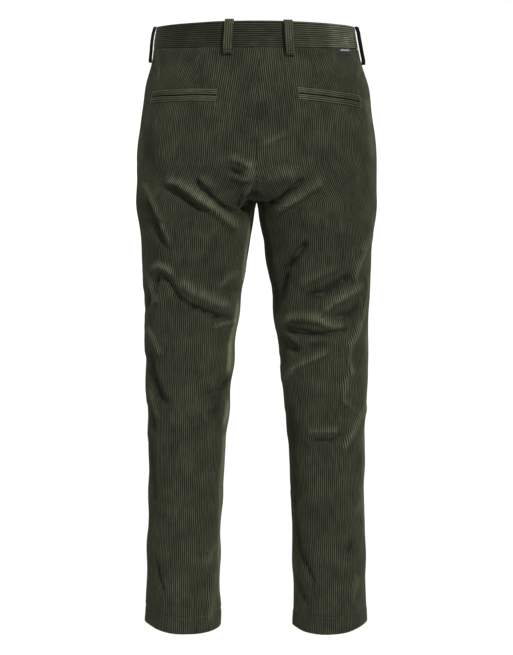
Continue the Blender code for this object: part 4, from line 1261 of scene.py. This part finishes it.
LOOP_WIDTH = 0.0140
LOOP_RISE = 0.17              # share of its length over which a loop leaves the band
LOOP_END, LOOP_END_SINK = 0.02, 0.0012
LOOP_ENDS, LOOP_STEPS = (0.0, 0.006, 0.02), 32      # rows near each end, and between them
LOOP_TACK_SPOTS = (("top", 3), ("foot", -5))        # the row that each tack lies on
LOOP_TACK_LIFT, LOOP_TACK_LENGTH, LOOP_TACK_THICKNESS = 0.0002, 0.0020, 0.0008
Loop = namedtuple("Loop", "name angle top_rise foot_height stand_off thickness")
LOOPS = (
    Loop("belt_loop_back_left", 74.8, 0.0030, -0.0350, 0.0056, 0.0040),
    Loop("belt_loop_back_right", 107.8, 0.0020, -0.0370, 0.0056, 0.0040),
    Loop("belt_loop_side_left", 0.0, 0.0005, -0.0465, 0.0012, 0.0046),
    Loop("belt_loop_side_right", 180.0, 0.0005, -0.0500, 0.0018, 0.0055),
    Loop("belt_loop_front_left", -67.5, 0.0010, -0.0380, 0.0056, 0.0040),
    Loop("belt_loop_front_right", -112.5, 0.0010, -0.0380, 0.0056, 0.0040),
)
# The loops get a lighter copy of the corduroy: painted highlight, as they stand out into the
# light.
loop_corduroy_painted_lighter = corduroy("olive_corduroy_loops", "#505341", "#2A2C22", "#0D0E0A")
for loop in LOOPS:
    middle = math.radians(loop.angle)
    top = float(band_top(np.array(middle))) + loop.top_rise
    share = np.concatenate([LOOP_ENDS, np.linspace(0.05, 0.95, LOOP_STEPS),
                            1 - np.array(LOOP_ENDS)[::-1]])
    height = top + share * (loop.foot_height - top)
    end_roll = np.clip(1 - np.minimum(share, 1 - share) / LOOP_END, 0.0, 1.0) ** 2
    rise = soft_step(np.minimum(share, 1 - share) / LOOP_RISE)
    lift = SEAM_GAP + loop.stand_off * rise
    centre = ring_points(middle, height, 0.0)
    out = ring_points(middle, height, 1.0) - centre
    sideways = np.stack([-out[:, 1], out[:, 0], 0 * out[:, 0]], axis=-1)
    over, levels, flat_over = rib_lines(LOOP_WIDTH)
    base = centre + sideways * (over - LOOP_WIDTH / 2)[:, None, None]
    top_lift = lift + loop.thickness + levels[:, None] - LOOP_END_SINK * end_roll
    strip = wall(f"{loop.name}_strip", base + out * top_lift[..., None],
                 base + out * (lift + 0 * levels[:, None])[..., None], flat_over, height)
    sheet_piece(strip, loop.name, (loop_corduroy_painted_lighter, loop_corduroy_painted_lighter))
    for end_name, spot in LOOP_TACK_SPOTS:
        tack_lift = top_lift[2:-2, spot, None] + LOOP_TACK_LIFT
        sew(f"{loop.name}_tack_{end_name}", base[2:-2, spot] + out[spot] * tack_lift, UPRIGHT,
            out[spot], LOOP_TACK_LENGTH, LOOP_TACK_THICKNESS)

# ---- Fly -------------------------------------------------------------------------------------
# Behind the closed centre front a coil zip is sewn to its tapes, backed by a corduroy
# shield. On the outside only the curved topstitching shows, on the left front.

CLOTH = 0.0015
ZIP_WIDTH, ZIP_TOP = 0.026, -0.0440
ZIP_DEPTH, ZIP_THICKNESS = CLOTH + 0.0019, 0.0010
ZIP_STEPS, ZIP_COLUMNS, FLY_SHIELD_STEPS = 40, 11, 48
FLY_SHIELD_WIDTH, FLY_SHIELD_TOP, FLY_SHIELD_TAIL = 0.042, -0.0120, 0.006
COIL_STEP, COIL_HALF, COIL_LIFT = 0.0015, 0.0011, 0.0002
COIL_OVER, COIL_UNDER = 0.001, 0.004          # past the tape's ends
COIL_LENGTH, COIL_THICKNESS = 0.0040, 0.0010
FLY_STITCH_TOP = BAND_SEAM_HEIGHT - 0.002
FLY_STITCH_RISE, FLY_STITCH_STEPS = 0.0005, 400     # of its low end above the fly's
fly_low = BAND_SEAM_HEIGHT - FLY_LENGTH


def across_front(place, height):
    """The place across a front panel that lies at a distance from the centre front."""
    half_width = curve_through(HIP_SECTIONS, "half_width", height)
    return 1 - np.arcsin(np.abs(place) / half_width) * 2 / math.pi


def front_points(place, height, lift):
    """Points inside the centre front, place metres to the left of the centre seam."""
    place, height, lift = np.broadcast_arrays(place, height, lift)
    across = across_front(place, height)
    points = plain_surface(+1, -1, across, height)
    out = surface_normals(+1, -1, across, height)
    out[..., 0] = np.where(place == 0, 0.0, out[..., 0])
    points = points + out * lift[..., None]
    points[..., 0] *= np.where(place < 0, -1, 1)
    return points


height = np.linspace(ZIP_TOP, fly_low, ZIP_STEPS)
place = np.linspace(-0.5, 0.5, ZIP_COLUMNS) * ZIP_WIDTH
tape = wall("zip_tape_strip", front_points(place[:, None], height, -ZIP_DEPTH),
            front_points(place[:, None], height, -ZIP_DEPTH - ZIP_THICKNESS), place, height)
tape_weave = plain_weave("zip_tape_weave", "#1D1E18", "#34352B", 2400)
sheet_piece(tape, "zip_tape", (tape_weave, tape_weave))
coil_nylon, coil_shader = new_material("zip_coil_nylon", 0.35, 0.5)
coil_marks = noise_at(coil_nylon, object_place(coil_nylon), 900.0)
feed(coil_nylon, coil_shader,
     {"Base Color": ramp_over(coil_nylon, coil_marks, (0.0, "#23241D"), (1.0, "#3A3B31"))})
spots = np.arange(ZIP_TOP - COIL_OVER, fly_low + COIL_UNDER, -COIL_STEP)
sides = np.where(np.arange(len(spots)) % 2, COIL_HALF, -COIL_HALF)
sew("zip_coil", front_points(sides, spots, -ZIP_DEPTH + COIL_LIFT), (1.0, 0.0, 0.0),
    (0.0, -1.0, 0.0), COIL_LENGTH, COIL_THICKNESS, coil_nylon)

# the slider and its pull keep their CAD form, in brushed brass
brass, brass_shader = new_material("zip_brass", 0.35, 0.5)
brushing = add_node(brass, "ShaderNodeVectorMath",
                    {0: object_place(brass), 1: (4000.0, 4000.0, 300.0)},
                    operation="MULTIPLY").outputs[0]
grain = noise_at(brass, brushing, 1.0)
feed(brass, brass_shader, {
    "Metallic": 1.0, "Roughness": sum_of(brass, "MULTIPLY_ADD", grain, 0.3, 0.22),
    "Base Color": ramp_over(brass, grain, (0.0, "#7A6238"), (1.0, "#B59A5E"))})
for material_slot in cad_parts["zip_slider"].material_slots:
    material_slot.material = brass

shield_lift = -ZIP_DEPTH - ZIP_THICKNESS - SEAM_GAP
over, levels, flat_over = rib_lines(FLY_SHIELD_WIDTH)
height = np.linspace(FLY_SHIELD_TOP, fly_low - FLY_SHIELD_TAIL, FLY_SHIELD_STEPS)
place = (over - FLY_SHIELD_WIDTH / 2)[:, None]
shield = wall("fly_shield_strip",
              front_points(place, height, shield_lift + np.minimum(levels, 0.0)[:, None]),
              front_points(place, height, shield_lift - CLOTH), flat_over, height)
sheet_piece(shield, "fly_shield", (panel_corduroy, wrong_side_cloth))

height = np.linspace(FLY_STITCH_TOP, fly_low + FLY_STITCH_RISE, FLY_STITCH_STEPS)
across = across_front(fly_stitch_place(height), height)
line = cloth_points(+1, -1, across, height, STITCH_LIFT, front_dents)
stitched_line("fly_stitching", line, surface_normals(+1, -1, across, height))

# ---- Hem stitching -----------------------------------------------------------------------------
# The turned-up hem of each leg is sewn down all round, in thread of the cloth's own colour.

HEM_STITCH_LIFT = -0.0004
HEM_STITCH_STEPS = 120        # round half a leg
for side, side_name in SIDES:
    lines, outs = [], []
    for face, span in ((+1, (0.0, 1.0)), (-1, (1.0, 0.0))):
        across = np.linspace(*span, HEM_STITCH_STEPS)
        turn = 0.5 - 0.5 * np.cos(math.pi * across)
        side_height = HEM_OUTER_HEIGHT + HEM_STITCH_UP
        height = side_height + turn * (HEM_INNER_HEIGHT - HEM_OUTER_HEIGHT)
        lines.append(cloth_points(side, face, across, height, HEM_STITCH_LIFT))
        outs.append(surface_normals(side, face, across, height))
    stitched_line(f"hem_stitching_{side_name}", np.concatenate(lines), np.concatenate(outs))

# ---- Label tab -------------------------------------------------------------------------------
# A small woven tab under the band seam on the right back, dark with one plain pale stripe.

LABEL_SIDE_X = 0.140
LABEL_SIZE = (0.035, 0.0095)
LABEL_THICKNESS = 0.0008
LABEL_DROP = 0.0012
LABEL_EDGE_ROLL = 0.0004
LABEL_COLUMNS, LABEL_ROWS = 30, 12
STRIPE = {"X": (0.0024, 0.0010), "Y": (0.0, 0.0115)}    # middle and half size, down and along

label_top = BAND_SEAM_HEIGHT - LABEL_DROP
label_middle = across_at(-1, [LABEL_SIDE_X], [label_top])[0]
ring_width = face_width(-1, +1, label_top)
flat_along = np.linspace(-0.5, 0.5, LABEL_COLUMNS) * LABEL_SIZE[0]
flat_down = np.linspace(0.0, 1.0, LABEL_ROWS) * LABEL_SIZE[1]
across = label_middle + flat_along / ring_width + 0 * flat_down[:, None]
height = label_top - flat_down[:, None] + 0 * across
edge_roll = LABEL_EDGE_ROLL * (np.abs(flat_down / LABEL_SIZE[1] - 0.5) > 0.49)[:, None]
label = wall("label_tab",
             cloth_points(-1, +1, across, height, SEAM_GAP + LABEL_THICKNESS - edge_roll),
             cloth_points(-1, +1, across, height, SEAM_GAP),
             flat_down, flat_along)
label_weave, label_shader = new_material("label_satin_weave", 0.55, 0.4)
label_place = cut_place(label_weave)
label_parts = add_node(label_weave, "ShaderNodeSeparateXYZ", {"Vector": label_place})
within = []
for axis, (centre, half) in STRIPE.items():
    off = sum_of(label_weave, "SUBTRACT", label_parts.outputs[axis], centre)
    size = sum_of(label_weave, "ABSOLUTE", off)
    within.append(sum_of(label_weave, "LESS_THAN", size, half))
stripe = sum_of(label_weave, "MULTIPLY", *within)
label_threads = noise_at(label_weave, label_place, 1600.0)
label_mix = add_node(label_weave, "ShaderNodeMix", {"Factor": stripe}, data_type="RGBA")
feed(label_weave, label_mix, {
    "A": ramp_over(label_weave, label_threads, (0.0, "#121315"), (1.0, "#222327")),
    "B": linear("#A4A5A6")})
label_colour = next(out for out in label_mix.outputs if out.type == "RGBA")
feed(label_weave, label_shader, {"Base Color": label_colour})
sheet_piece(label, "waist_label", (label_weave, label_weave))

# ---- Floor and light ---------------------------------------------------------------------
# A pale studio floor that curves up into a wall all round, well below the hems. A soft key
# light is high behind the camera on its right, with three weaker ones and a pale surround.

FLOOR_HEIGHT = -2.0
FLOOR_RADIUS, COVE_RADIUS, WALL_HEIGHT = 7.0, 2.5, 7.0
FLOOR_SIDES, COVE_STEPS = 64, 10
FLOOR_GLOW = 0.12
WHITE = (1.0, 1.0, 1.0, 1.0)
turns = np.linspace(0.0, math.pi / 2, COVE_STEPS)
profile = [(FLOOR_RADIUS + COVE_RADIUS * math.sin(turn),
            FLOOR_HEIGHT + COVE_RADIUS * (1 - math.cos(turn))) for turn in turns]
profile.append((FLOOR_RADIUS + COVE_RADIUS, FLOOR_HEIGHT + WALL_HEIGHT))
around = np.linspace(0.0, 2 * math.pi, FLOOR_SIDES, endpoint=False)
points = [(0.0, 0.0, FLOOR_HEIGHT)]
for radius, height in profile:
    points += [(radius * math.cos(a), radius * math.sin(a), height) for a in around]
step = np.arange(FLOOR_SIDES)
after = (step + 1) % FLOOR_SIDES
faces = np.stack([0 * step, 1 + step, 1 + after], axis=1).tolist()
for base in range(1, 1 + (len(profile) - 1) * FLOOR_SIDES, FLOOR_SIDES):
    faces += np.stack([base + step, base + step + FLOOR_SIDES, base + after + FLOOR_SIDES,
                       base + after], axis=1).tolist()
floor_mesh = bpy.data.meshes.new("floor")
floor_mesh.from_pydata(points, [], faces)
floor_mesh.shade_smooth()
floor = bpy.data.objects.new("floor", floor_mesh)
bpy.context.collection.objects.link(floor)
floor_paint, floor_shader = new_material("pale_floor_paint", 0.9, 0.2)
feed(floor_paint, floor_shader, {"Base Color": linear("#F2F2F0"), "Emission Color": WHITE,
                                 "Emission Strength": FLOOR_GLOW})
floor.data.materials.append(floor_paint)
floor.visible_diffuse = False
floor.visible_shadow = False

SURROUND = 0.16
world = bpy.data.worlds.new("pale_surround")
world.use_nodes = True
feed(world, world.node_tree.nodes["Background"], {"Color": WHITE, "Strength": SURROUND})
bpy.context.scene.world = world
bpy.context.scene.view_settings.view_transform = "Standard"

Lamp = namedtuple("Lamp", "name towards softness strength")
LAMPS = (
    Lamp("key_light", (0.42, -0.72, -0.60), 8.0, 2.8),
    Lamp("fill_light", (-0.80, -0.50, -0.30), 30.0, 0.7),
    Lamp("low_light", (-0.15, -0.85, 0.45), 40.0, 0.5),
    Lamp("front_light", (0.4, 0.8, -0.45), 30.0, 2.0),
)
for lamp in LAMPS:
    light = bpy.data.lights.new(lamp.name, "SUN")
    light.angle = math.radians(lamp.softness)
    light.energy = lamp.strength
    thing = bpy.data.objects.new(lamp.name, light)
    bpy.context.collection.objects.link(thing)
    flat_reach = math.hypot(lamp.towards[0], lamp.towards[1])
    thing.rotation_euler = (math.atan2(flat_reach, -lamp.towards[2]), 0.0,
                            math.atan2(lamp.towards[1], lamp.towards[0]) - math.pi / 2)
